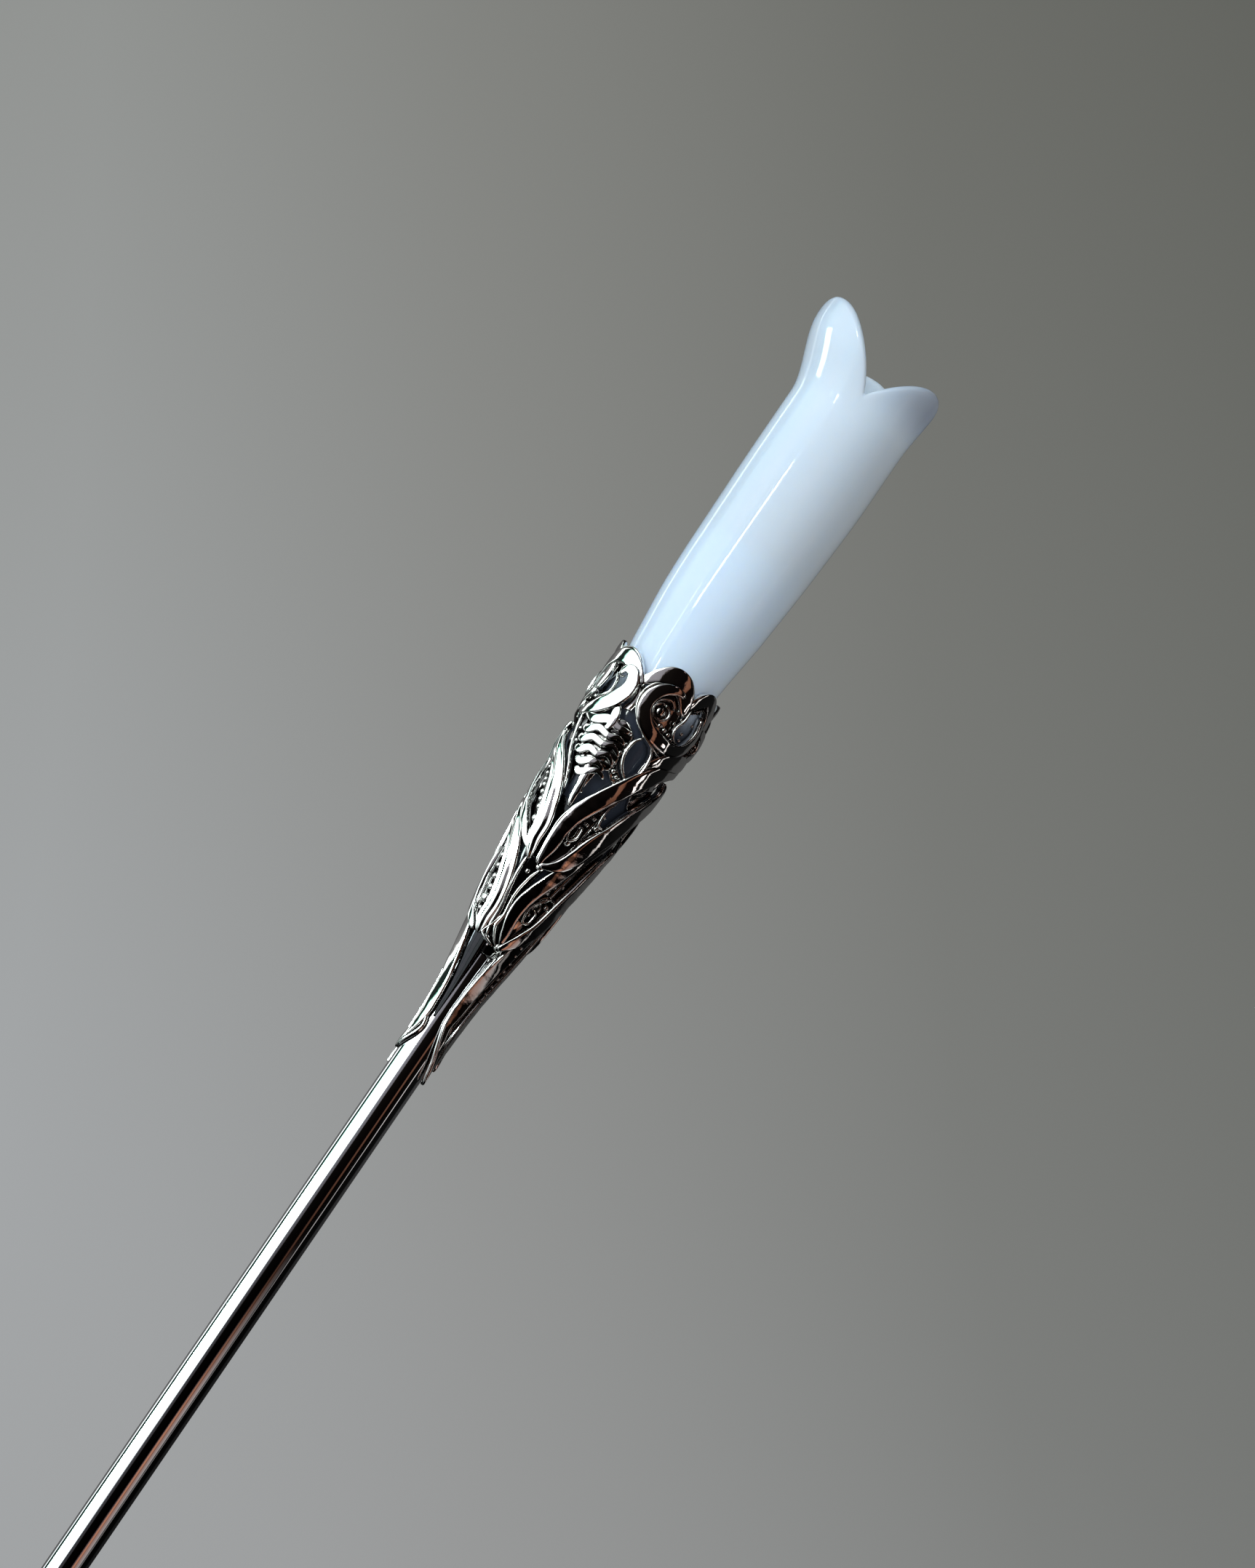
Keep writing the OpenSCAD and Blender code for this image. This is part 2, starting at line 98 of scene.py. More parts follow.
# ---------------------------------------------------------------- mesh helpers
def to_object(name, verts, faces):
    """A mesh object from points in mm."""
    mesh = bpy.data.meshes.new(name)
    mesh.from_pydata([tuple(Vector(v) * MM) for v in verts], [], faces)
    mesh.validate()
    bm = bmesh.new()
    bm.from_mesh(mesh)
    bmesh.ops.recalc_face_normals(bm, faces=bm.faces)
    for f in bm.faces:
        f.smooth = True
    bm.to_mesh(mesh)
    bm.free()
    obj = bpy.data.objects.new(name, mesh)
    bpy.context.scene.collection.objects.link(obj)
    return obj


def add_part(verts, faces, part):
    """Append one part's points and faces to a growing mesh."""
    base = len(verts)
    verts.extend(part[0])
    faces.extend([tuple(i + base for i in f) for f in part[1]])


def skin(rings, caps=True):
    """Faces over rings of equal size."""
    sides = len(rings[0])
    verts = [p for r in rings for p in r]
    faces = []
    for i in range(len(rings) - 1):
        for j in range(sides):
            a = i * sides + j
            b = i * sides + (j + 1) % sides
            faces.append((a, b, b + sides, a + sides))
    if caps:
        faces.append(tuple(reversed(range(sides))))
        faces.append(tuple((len(rings) - 1) * sides + j for j in range(sides)))
    return verts, faces


def lathe(profile, sides=96, centre=(0.0, 0.0), closed=False):
    """Revolve (radius, height) points. closed joins the last point to the first."""
    rings = [[Vector((centre[0] + r * math.sin(2 * math.pi * k / sides),
                      centre[1] - r * math.cos(2 * math.pi * k / sides), z))
              for k in range(sides)] for r, z in profile]
    if closed:
        rings.append(rings[0])
    return skin(rings, caps=not closed)


def rounded(profile, radius=0.06, steps=3):
    """Round the inner corners of an open profile of (radius, height)."""
    out = [profile[0]]
    for i in range(1, len(profile) - 1):
        p, q, s = (Vector(profile[i + d]) for d in (-1, 0, 1))
        a, b = p - q, s - q
        cut = min(radius, a.length * 0.45, b.length * 0.45)
        a, b = q + a.normalized() * cut, q + b.normalized() * cut
        for k in range(steps + 1):
            t = k / steps
            out.append(tuple(a * (1 - t) ** 2 + q * 2 * t * (1 - t) + b * t ** 2))
    out.append(profile[-1])
    return out


def catmull(points, steps):
    out = []
    n = len(points)
    for i in range(n - 1):
        a, b, c, d = (points[max(i - 1, 0)], points[i], points[i + 1], points[min(i + 2, n - 1)])
        for k in range(steps):
            t = k / steps
            out.append([0.5 * (2 * q + (r - p) * t + (2 * p - 5 * q + 4 * r - s) * t * t
                               + (3 * q - p - 3 * r + s) * t ** 3)
                        for p, q, r, s in zip(a, b, c, d)])
    out.append(list(points[-1]))
    return out


# Cross sections: (across, up), across in half widths and up in shares of the height.
def half_round(n=10):
    top = [(math.cos(math.pi * k / n), math.sin(math.pi * k / n)) for k in range(n + 1)]
    return top + [(-0.9, -0.35), (0, -0.45), (0.9, -0.35)]


def mirrored(right):
    """A whole section from its right half, which ends on the crest."""
    return (right + [(-a, h) for a, h in reversed(right[:-1])]
            + [(-0.85, -0.3), (0, -0.4), (0.85, -0.3)])


RIDGED = mirrored([(1, 0), (0.98, 0.5), (0.9, 0.74), (0.78, 0.76), (0.62, 0.68), (0.42, 0.76),
                   (0.2, 0.95), (0, 1.0)])
ROUND = half_round()
BAND = mirrored([(1, 0), (1, 0.4), (0.98, 0.66), (0.93, 0.83), (0.84, 0.92), (0.6, 0.96),
                 (0.3, 0.99), (0, 1.0)])
SECTIONS = {"b": BAND, "g": RIDGED, "r": ROUND}


END_TAPER = 0.03           # how blunt a strip's ends are


def ribbon(points, section="r", turn=0, height=None, steps=8, wobble=0.0):
    """A strip swept over the calyx. points are (azimuth, height, width, lift)."""
    path = catmull(points, steps)
    where = [on_calyx(p[0] + turn, p[1], p[3]) for p in path]
    shape = SECTIONS[section]
    rings = []
    last = len(path) - 1
    for i, p in enumerate(path):
        az = math.radians(p[0] + turn)
        along = (where[min(i + 1, last)] - where[max(i - 1, 0)]).normalized()
        out = Vector((math.sin(az), -math.cos(az), 0))
        side = along.cross(out).normalized()
        up = side.cross(along)
        end = min(i, last - i) / (steps * 0.5)
        taper = math.sqrt(max(1 - (1 - min(end, 1.0)) ** 2, END_TAPER))
        width = p[2] * taper
        tall = (height or min(0.5, 0.3 + 0.22 * p[2])) * (0.55 + 0.45 * taper)
        rings.append([where[i] + side * (a * width / 2) + up * (h * tall) for a, h in shape])
    if wobble:
        for ring in rings:
            for v in ring:
                v += noise.noise_vector(v * 1.3) * wobble
    return skin(rings)


def blade(left, right, turn=0, dish=-0.12, base=-0.05, thick=0.22, across=8, steps=8, ribs=0,
          rib_h=0.0):
    """A slim curved sheet between two edges of (azimuth, height) points."""
    a, b = catmull(left, steps), catmull(right, steps)
    count = max(len(a), len(b))

    def pick(path, t):
        x = t * (len(path) - 1)
        i = min(int(x), len(path) - 2)
        return [p + (q - p) * (x - i) for p, q in zip(path[i], path[i + 1])]
    top, under = [], []
    for i in range(count):
        t = i / (count - 1)
        p, q = pick(a, t), pick(b, t)
        row_top, row_under = [], []
        for k in range(across + 1):
            u = k / across
            az, z = p[0] + (q[0] - p[0]) * u, p[1] + (q[1] - p[1]) * u
            lift = base + dish * (1 - (2 * u - 1) ** 2)
            if ribs:
                lift += rib_h * abs(math.sin(math.pi * ribs * t)) * (1 - 0.5 * abs(2 * u - 1))
            row_top.append(on_calyx(az + turn, z, lift))
            row_under.append(on_calyx(az + turn, z, lift - thick))
        top.append(row_top)
        under.append(row_under)
    rings = [t + list(reversed(u)) for t, u in zip(top, under)]
    return skin(rings)


def bead(az, z, r, lift, turn=0, sides=14, flat=0.85):
    """A slightly squashed ball on the calyx."""
    c = on_calyx(az + turn, z, lift)
    a = math.radians(az + turn)
    out = Vector((math.sin(a), -math.cos(a), 0))
    verts, faces = [], []
    rows = sides // 2
    for i in range(1, rows):
        p = math.pi * i / rows
        for k in range(sides):
            q = 2 * math.pi * k / sides
            v = Vector((math.sin(p) * math.cos(q), math.sin(p) * math.sin(q), math.cos(p))) * r
            verts.append(c + v - out * v.dot(out) * (1 - flat))
    for i in range(rows - 2):
        for k in range(sides):
            a0 = i * sides + k
            b0 = i * sides + (k + 1) % sides
            faces.append((a0, b0, b0 + sides, a0 + sides))
    north, south = len(verts), len(verts) + 1
    verts.extend([c + Vector((0, 0, r)), c - Vector((0, 0, r))])
    for k in range(sides):
        faces.append((north, (k + 1) % sides, k))
        low = (rows - 2) * sides
        faces.append((south, low + k, low + (k + 1) % sides))
    return verts, faces


# ---------------------------------------------------------------- node materials
class Nodes:
    """Short-hand for building a material's nodes."""

    def __init__(self, name):
        self.mat = bpy.data.materials.new(name)
        self.mat.use_nodes = True
        self.tree = self.mat.node_tree
        self.tree.nodes.clear()

    def add(self, kind, inputs=None, **props):
        node = self.tree.nodes.new(kind)
        for k, v in props.items():
            setattr(node, k, v)
        for k, v in (inputs or {}).items():
            if isinstance(v, bpy.types.NodeSocket):
                self.tree.links.new(v, node.inputs[k])
            else:
                node.inputs[k].default_value = v
        return node

    def math(self, op, a, b=0.5):
        return self.add("ShaderNodeMath", {0: a, 1: b}, operation=op).outputs[0]

    def remap(self, value, a, b, c, d):
        return self.add("ShaderNodeMapRange", {"Value": value, "From Min": a, "From Max": b,
                                               "To Min": c, "To Max": d}).outputs[0]

    def mix(self, factor, a, b):
        node = self.tree.nodes.new("ShaderNodeMix")
        node.data_type = "RGBA"
        for name, v in (("Factor", factor), ("A", a), ("B", b)):
            sockets = [s for s in node.inputs if s.name == name and s.enabled]
            if isinstance(v, bpy.types.NodeSocket):
                self.tree.links.new(v, sockets[0])
            else:
                sockets[0].default_value = v
        return next(s for s in node.outputs if s.enabled)

    def noise(self, vector, scale, detail=3.0, rough=0.5):
        return self.add("ShaderNodeTexNoise", {"Vector": vector, "Scale": scale, "Detail": detail,
                                               "Roughness": rough}).outputs["Fac"]

    def ramp(self, factor, stops):
        node = self.add("ShaderNodeValToRGB", {0: factor})
        ramp = node.color_ramp
        while len(ramp.elements) > 1:
            ramp.elements.remove(ramp.elements[0])
        ramp.elements[0].position = stops[0][0]
        ramp.elements[0].color = stops[0][1]
        for pos, colour in stops[1:]:
            ramp.elements.new(pos).color = colour
        return node.outputs[0]

    def place(self, scale=(1, 1, 1)):
        """Positions in metres in the part's own frame, stretched by scale."""
        coords = self.add("ShaderNodeTexCoord").outputs["Object"]
        return self.add("ShaderNodeMapping", {"Vector": coords, "Scale": scale}).outputs[0]

    def bump(self, height, strength, distance):
        return self.add("ShaderNodeBump", {"Height": height, "Strength": strength,
                                           "Distance": distance}).outputs[0]

    def finish(self, surface):
        out = self.add("ShaderNodeOutputMaterial")
        self.tree.links.new(surface, out.inputs["Surface"])
        return self.mat


def grey(v, a=1.0):
    return (v, v, v, a)


def rod_chrome():
    n = Nodes("rod_chrome")
    drawn = n.noise(n.place((9000, 9000, 60)), 1.0, 2)
    smudge = n.noise(n.place((900, 900, 140)), 1.0, 4)
    rough = n.remap(smudge, 0.35, 0.75, 0.025, 0.09)
    normal = n.bump(drawn, 0.10, 0.00002)
    tint = n.mix(smudge, (0.93, 0.94, 0.96, 1), (0.86, 0.87, 0.90, 1))
    s = n.add("ShaderNodeBsdfPrincipled", {"Base Color": tint, "Metallic": 1.0,
                                           "Roughness": rough, "Normal": normal})
    return n.finish(s.outputs[0])


def cast_chrome():
    n = Nodes("cast_chrome")
    ripple = n.noise(n.place((1500, 1500, 1500)), 1.0, 2)
    pits = n.noise(n.place((9000, 9000, 9000)), 1.0, 3)
    # Painted shade in crevices: where ambient occlusion finds little open space, the metal is
    # tinted near-black brown and made rougher.
    unshaded = n.remap(n.add("ShaderNodeAmbientOcclusion", {"Distance": 0.0004},
                         samples=6).outputs["AO"], 0.35, 0.95, 0.0, 1.0)
    tint = n.mix(unshaded, (0.05, 0.042, 0.038, 1), (0.93, 0.92, 0.90, 1))
    # Painted shade: the dark sheets between the strips are mixed to near-black here.
    painted_shade = n.add("ShaderNodeAttribute", attribute_name="painted_shade").outputs["Fac"]
    tint = n.mix(painted_shade, tint, (0.02, 0.02, 0.022, 1))
    rough = n.math("ADD", n.remap(unshaded, 0.0, 1.0, 0.12, 0.025), n.remap(pits, 0.4, 0.8, 0.0, 0.03))
    normal = n.bump(n.math("ADD", ripple, n.math("MULTIPLY", pits, 0.06)), 0.10, 0.0001)
    s = n.add("ShaderNodeBsdfPrincipled", {"Base Color": tint, "Metallic": 1.0,
                                           "Roughness": rough, "Normal": normal})
    return n.finish(s.outputs[0])


def opal_glass():
    n = Nodes("opal_glass")
    cloud = n.noise(n.place((160, 160, 60)), 1.0, 3)
    streak = n.noise(n.place((420, 420, 25)), 1.0, 3)
    milk = n.math("ADD", n.math("MULTIPLY", cloud, 0.5), n.math("MULTIPLY", streak, 0.5))
    tint = n.mix(n.remap(milk, 0.35, 0.65, 0, 1), (0.74, 0.84, 0.96, 1), (0.79, 0.86, 0.95, 1))
    # Grey and partly clear petal tops: partly real, where light passes through the glass to the
    # backdrop, and partly painted shade, which is why the right petal gets far more than the left.
    thin = n.add("ShaderNodeAttribute", attribute_name="thin").outputs["Fac"]
    tint = n.mix(thin, tint, (0.55, 0.57, 0.62, 1))
    # Painted shade: the glass root below the calyx rim is tinted nearly black and loses its milky
    # glow.
    root_shade = n.add("ShaderNodeAttribute", attribute_name="root_shade").outputs["Fac"]
    tint = n.mix(root_shade, tint, (0.035, 0.04, 0.052, 1))
    milky = n.remap(root_shade, 0, 1, 0.55, 0.0)
    wave = n.noise(n.place((260, 260, 90)), 1.0, 2)
    normal = n.bump(wave, 0.015, 0.0004)
    s = n.add("ShaderNodeBsdfPrincipled", {
        "Base Color": tint, "Roughness": n.remap(wave, 0.3, 0.7, 0.015, 0.03), "IOR": 1.5,
        "Subsurface Weight": milky, "Subsurface Radius": (0.0022, 0.0026, 0.0032),
        "Subsurface Scale": 1.0, "Normal": normal, "Specular IOR Level": 0.22})
    clear = n.add("ShaderNodeBsdfTransparent", {"Color": (0.80, 0.82, 0.86, 1)})
    mixed = n.add("ShaderNodeMixShader", {0: n.math("MULTIPLY", thin, 0.45), 1: s.outputs[0],
                                          2: clear.outputs[0]})
    return n.finish(mixed.outputs[0])


def steel(name, tint_a, tint_b, rough, stretch=(2500, 2500, 90)):
    n = Nodes(name)
    brushed = n.noise(n.place(stretch), 1.0, 4, 0.6)
    spots = n.noise(n.place((700, 700, 300)), 1.0, 3)
    tint = n.mix(n.remap(spots, 0.35, 0.65, 0, 1), tint_a, tint_b)
    s = n.add("ShaderNodeBsdfPrincipled", {
        "Base Color": tint, "Metallic": 1.0,
        "Roughness": n.remap(brushed, 0.3, 0.7, rough * 0.7, rough * 1.4),
        "Normal": n.bump(brushed, 0.12, 0.00004)})
    return n.finish(s.outputs[0])


def resin():
    n = Nodes("cement_resin")
    grain = n.noise(n.place((2600, 2600, 2600)), 1.0, 4)
    tint = n.mix(grain, (0.62, 0.61, 0.57, 1), (0.78, 0.77, 0.73, 1))
    s = n.add("ShaderNodeBsdfPrincipled", {"Base Color": tint, "Roughness": 0.5,
                                           "Normal": n.bump(grain, 0.3, 0.00005)})
    return n.finish(s.outputs[0])


MATERIALS = {
    "rod": rod_chrome(), "cast": cast_chrome(), "glass": opal_glass(),
    "nib": steel("nib_steel_brushed", (0.58, 0.60, 0.64, 1), (0.72, 0.71, 0.69, 1), 0.22),
    "spring": steel("spring_steel_blued", (0.22, 0.25, 0.33, 1), (0.38, 0.38, 0.42, 1), 0.3),
    "wire": steel("peg_wire", (0.5, 0.5, 0.52, 1), (0.62, 0.62, 0.63, 1), 0.3),
    "cement": resin(),
}


def settle(obj, material, nodes, body="holder"):
    """Give a finished piece its material and body, and hide the model.glb parts it stands for."""
    obj.data.materials.clear()
    obj.data.materials.append(MATERIALS[material])
    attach(obj, body)
    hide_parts(*nodes)
    return obj


# ---------------------------------------------------------------- calyx: strips by node
# Each strip is (cross section, height in mm or None, [(azimuth, height, width, lift), ...]).
STRIPS = {
    "rim_scroll": [
        ("b", 0.45, [(-92, 147.2, 0.5, 0), (-87, 149, 1.0, 0.1), (-72, 150.7, 1.5, 0.15),
                     (-52, 151.3, 1.6, 0.2), (-37, 151.0, 1.35, 0.15), (-26, 150.3, 0.9, 0.05),
                     (-18, 149.6, 0.5, -0.05)]),
        ("b", 0.5, [(-46, 149.5, 0.4, 0.1), (-40, 150.25, 0.8, 0.25), (-32, 150.2, 1.1, 0.3),
                    (-27, 149.3, 1.3, 0.32), (-28, 148.2, 1.5, 0.32), (-36, 147, 1.6, 0.28),
                    (-49, 146, 1.5, 0.2), (-64, 145.3, 1.0, 0.1), (-76, 144.9, 0.5, 0)]),
        ("r", 0.3, [(-54, 149.7, 0.2, 0), (-47, 148.8, 0.3, 0.08), (-48, 147.6, 0.3, 0.08),
                    (-62, 146.8, 0.2, 0)]),
        ("r", None, [(-104, 147, 0.4, 0), (-88, 147.6, 0.6, 0.1), (-76, 148.8, 0.55, 0.1),
                     (-66, 149.8, 0.35, 0)]),
        ("r", 0.3, [(-84, 151, 0.2, 0.15), (-66, 152, 0.28, 0.1), (-48, 152.2, 0.3, 0.1),
                    (-34, 151.6, 0.28, 0.1), (-24, 150.6, 0.28, 0.1), (-17, 150.2, 0.2, 0)]),
    ],
    "volute_lobe": [
        ("b", 0.4, [(-24, 149.9, 0.68, -0.05), (-16, 150.5, 1.08, 0), (-8, 151.2, 1.49, 0.05),
                    (3, 151.75, 2.03, 0.1), (13, 151.75, 2.16, 0.1), (22, 151.2, 1.89, 0.1),
                    (29, 150.3, 1.35, 0.05), (34, 149.4, 0.68, 0)]),
        ("r", 0.5, [(4, 150.9, 0.2, 0.15), (-7, 150.4, 0.3, 0.3), (-13, 149.3, 0.34, 0.36),
                    (-12, 148, 0.34, 0.36), (-5, 146.9, 0.34, 0.36), (6, 146.1, 0.34, 0.3),
                    (20, 145.5, 0.36, 0.25), (34, 145.2, 0.4, 0.1), (44, 145.5, 0.3, 0)]),
        ("b", 0.5, [(24, 150.9, 0.48, 0.15), (13, 150.9, 0.84, 0.22), (2, 150.3, 1.2, 0.28),
                    (-5, 149.2, 1.38, 0.32), (-4, 147.9, 1.38, 0.32), (5, 146.85, 1.38, 0.32),
                    (18, 146.35, 1.38, 0.28), (34, 146.2, 1.38, 0.22), (50, 146.6, 1.2, 0.2),
                    (60, 147.6, 1.08, 0.15), (64, 149, 0.9, 0.1), (58, 150.4, 0.48, 0)]),
        ("r", 0.36, [(22, 149.3, 0.2, 0.1), (14, 149.9, 0.3, 0.25), (5, 149.5, 0.32, 0.28),
                     (2, 148.5, 0.32, 0.28), (7, 147.6, 0.32, 0.28), (18, 147.3, 0.25, 0.2)]),
        ("r", None, [(38, 150.4, 0.25, 0.1), (37, 149.2, 0.36, 0.2), (33, 148, 0.36, 0.2),
                     (38, 147.2, 0.32, 0.2), (48, 147.1, 0.25, 0.1)]),
    ],
    "tall_lobe": [
        ("b", 0.4, [(32, 150.3, 0.6, 0), (38, 151, 1.08, 0.05), (47, 151.9, 1.32, 0.08),
                    (56, 152.1, 1.38, 0.1), (65, 151.3, 1.32, 0.1), (70, 150, 1.08, 0.1),
                    (69, 148.6, 0.96, 0.1), (60, 147.2, 0.72, 0.1), (48, 146.4, 0.48, 0)]),
        ("b", 0.45, [(64, 149.4, 0.5, 0.1), (75, 149.2, 1.1, 0.25), (83, 148.3, 1.3, 0.35),
                     (82, 147.2, 1.2, 0.3), (70, 146.4, 0.8, 0.1)]),
        ("r", 0.3, [(44, 150.5, 0.25, 0.05), (52, 151, 0.3, 0.12), (60, 150.4, 0.25, 0.05)]),
    ],
    "rim_band": [
        ("b", 0.45, [(112, 147.4, 0.62, 0.1), (93, 146.7, 1.38, 0.15), (77, 146.1, 1.75, 0.2),
                     (62, 145.7, 1.88, 0.2), (48, 145.2, 1.62, 0.2), (37, 144.5, 1.12, 0.15),
                     (30, 143.7, 0.62, 0.1), (29, 142.6, 0.44, 0)]),
        ("b", 0.4, [(74, 150.5, 0.5, 0), (86, 151.9, 0.9, 0.05), (99, 152.1, 1.3, 0.05),
                    (111, 150.8, 1.3, 0.08), (113, 149, 1.1, 0.1), (108, 147.4, 0.7, 0.1)]),
        ("r", 0.45, [(22, 145.4, 0.25, 0.1), (27, 144.9, 0.36, 0.2), (29.5, 144, 0.4, 0.25),
                     (29.5, 143, 0.4, 0.2), (26, 142.2, 0.25, 0)]),
    ],
    "acanthus": [
        ("b", 0.45, [(-21, 141.4, 0.4, 0), (-17, 140.4, 0.75, 0.12), (-15, 139.2, 0.7, 0.12),
                     (-14, 138, 0.6, 0.08), (-13, 136.9, 0.4, -0.1)]),
        ("r", None, [(12, 145.7, 0.25, 0.05), (6, 144.9, 0.4, 0.15), (5, 143.6, 0.42, 0.15),
                     (10, 142.5, 0.4, 0.12), (19, 141.8, 0.34, 0), (26, 141.4, 0.25, -0.05)]),
        ("b", 0.4, [(-66, 145.5, 0.4, -0.05), (-52, 145, 0.7, 0.1), (-40, 144.9, 0.95, 0.25),
                    (-26, 145.4, 0.95, 0.3), (-14, 145.2, 0.7, 0.25), (-2, 145.4, 0.4, 0.1)]),
        ("b", 0.4, [(-50, 143.9, 0.5, 0), (-41, 143.8, 0.85, 0.2), (-30, 144.3, 0.7, 0.32),
                    (-18, 144.1, 0.6, 0.34), (-9, 144.4, 0.5, 0.2), (0, 144.2, 0.3, 0.05)]),
        ("b", 0.4, [(-48, 143, 0.5, 0), (-40, 142.8, 0.85, 0.2), (-30, 143.3, 0.7, 0.32),
                    (-18, 143.2, 0.6, 0.34), (-8, 143.5, 0.5, 0.2), (2, 143, 0.3, 0.05)]),
        ("b", 0.4, [(-44, 142, 0.5, 0), (-36, 141.8, 0.85, 0.2), (-27, 142.3, 0.7, 0.32),
                    (-17, 142.2, 0.6, 0.32), (-8, 142.6, 0.5, 0.18), (2, 142, 0.3, 0.05)]),
        ("b", 0.4, [(-36, 141.1, 0.4, 0), (-28, 140.9, 0.8, 0.18), (-20, 141.3, 0.7, 0.28),
                    (-12, 141.5, 0.5, 0.2), (-3, 141.2, 0.3, 0.05)]),
        ("b", 0.4, [(-30, 140.3, 0.4, 0), (-23, 140, 0.75, 0.15), (-15, 140.5, 0.6, 0.22),
                    (-7, 140.9, 0.5, 0.15), (2, 140.6, 0.3, 0.05)]),
        ("b", 0.45, [(-28, 147.1, 0.35, 0), (-24, 146.2, 0.9, 0.25), (-22, 145.3, 0.8, 0.3),
                     (-24, 144.4, 0.4, 0.2)]),
    ],
    "upper_leaf_right": [
        ("b", 0.55, [(102, 146, 0.78, 0), (84, 145.3, 1.4, 0), (66, 144.8, 1.63, 0.05),
                     (50, 143.9, 1.78, 0.1), (35, 142.3, 1.86, 0.15), (21, 140.3, 1.78, 0.2),
                     (9, 138.3, 1.71, 0.22), (0, 136.5, 1.55, 0.24), (-4, 134.8, 1.4, 0.24),
                     (-4, 133.1, 1.24, 0.2), (-5, 131.8, 0.78, 0.1), (-4, 131, 0.46, 0.05)]),
        ("r", 0.36, [(17, 141, 0.2, 0.15), (4, 139.1, 0.28, 0.3), (-7, 137, 0.34, 0.38),
                     (-12, 135.3, 0.36, 0.4), (-11.5, 133.5, 0.34, 0.36), (-10, 132, 0.32, 0.3),
                     (-8, 131.2, 0.3, 0.25), (1, 130.9, 0.25, 0.15)]),
        ("b", 0.6, [(104, 143.8, 0.58, 0), (88, 142.5, 1.38, 0.05), (70, 140.8, 1.74, 0.1),
                    (56, 138.9, 1.89, 0.15), (46, 136.9, 1.89, 0.2), (35, 135, 1.81, 0.22),
                    (27, 133.2, 1.59, 0.2), (19, 132, 1.23, 0.15), (8, 131.3, 0.72, 0.1),
                    (-3, 131, 0.43, 0)]),
        ("r", None, [(35, 142, 0.25, 0), (30, 140.2, 0.36, 0.1), (25, 138.4, 0.38, 0.12),
                     (27, 137, 0.38, 0.15), (36, 136.9, 0.3, 0.1)]),
        ("r", None, [(19, 139, 0.25, 0), (12, 137.6, 0.36, 0.15), (6, 136.3, 0.38, 0.2),
                     (3, 135.1, 0.38, 0.2), (8, 134.3, 0.36, 0.2), (15, 134.8, 0.34, 0.2),
                     (14, 135.8, 0.3, 0.2), (10, 135.7, 0.2, 0.15)]),
        ("r", None, [(52, 143.2, 0.25, 0), (46, 141.8, 0.34, 0.1), (38, 141.2, 0.34, 0.12),
                     (32, 141.8, 0.25, 0.05)]),
    ],
    "upper_leaf_left": [
        ("r", 0.3, [(-72, 145.6, 0.3, -0.05), (-62, 143.4, 0.4, 0), (-52, 141.6, 0.4, 0),
                    (-39, 139.9, 0.36, 0), (-29, 138, 0.34, 0)]),
        ("g", 0.55, [(-104, 143.8, 0.4, 0), (-84, 142.8, 0.9, 0.05), (-68, 141.2, 1.3, 0.12),
                     (-53, 139.8, 1.5, 0.18), (-41, 138.2, 1.65, 0.24), (-33, 136.3, 1.75, 0.26),
                     (-27, 134.4, 1.7, 0.26), (-26, 132.8, 1.4, 0.22), (-22, 131.6, 0.8, 0.12),
                     (-19, 131, 0.3, 0)]),
        ("b", 0.5, [(-114, 140.8, 0.3, 0), (-95, 138.8, 0.6, 0.05), (-83, 137, 0.7, 0.1),
                    (-71, 135.4, 0.8, 0.15), (-58, 134.2, 0.8, 0.15), (-46, 133.2, 0.7, 0.12),
                    (-34, 132.2, 0.5, 0.08), (-24, 131.6, 0.25, 0)]),
    ],
    "lower_leaf_right": [
        ("b", 0.5, [(66, 137.4, 0.6, 0), (52, 135.8, 1.05, 0.1), (38, 133.8, 1.35, 0.15),
                    (29, 132, 1.42, 0.2), (21, 130.4, 1.42, 0.22), (12, 128.7, 1.35, 0.24),
                    (6, 127.2, 1.35, 0.24), (5, 125.8, 1.2, 0.2), (9, 124.3, 0.9, 0.12),
                    (13, 123.1, 0.45, 0.05)]),
        ("r", 0.36, [(46, 135.4, 0.2, 0.2), (33, 133.3, 0.28, 0.28), (24, 131.5, 0.32, 0.34),
                     (15, 129.8, 0.34, 0.36), (5, 128.1, 0.34, 0.36), (-1, 126.6, 0.3, 0.3),
                     (0, 125.2, 0.28, 0.22), (7, 124, 0.25, 0.15), (13, 122.9, 0.2, 0.05)]),
        ("b", 0.55, [(96, 137.4, 0.56, 0), (82, 135.2, 1.19, 0.05), (71, 132.8, 1.61, 0.1),
                     (65, 130.4, 1.75, 0.15), (58, 128.1, 1.68, 0.18), (50, 126.2, 1.54, 0.18),
                     (37, 124.6, 1.26, 0.15), (24, 123.4, 0.84, 0.1), (14, 122.7, 0.42, 0)]),
        ("r", None, [(52, 128.9, 0.25, 0.05), (38, 129, 0.36, 0.12), (26, 128.2, 0.38, 0.16),
                     (18, 127.1, 0.38, 0.18), (21, 126, 0.36, 0.18), (30, 126.1, 0.34, 0.18),
                     (32, 127.1, 0.28, 0.15), (27, 127.4, 0.2, 0.12)]),
        ("r", 0.4, [(2, 130.8, 0.25, 0.05), (-5, 129.3, 0.38, 0.12), (-9, 127.4, 0.42, 0.12),
                    (-7, 125.6, 0.5, 0.12), (-10, 124.3, 0.42, 0.08), (0, 123.2, 0.3, 0.05),
                    (12, 122.6, 0.2, 0)]),
        ("r", 0.36, [(-9, 125.6, 0.3, 0.05), (-16, 124.3, 0.4, 0.1), (-24, 123.3, 0.4, 0.1),
                     (-12, 122.9, 0.4, 0.08), (4, 122.6, 0.25, 0)]),
    ],
    "lower_leaf_left": [
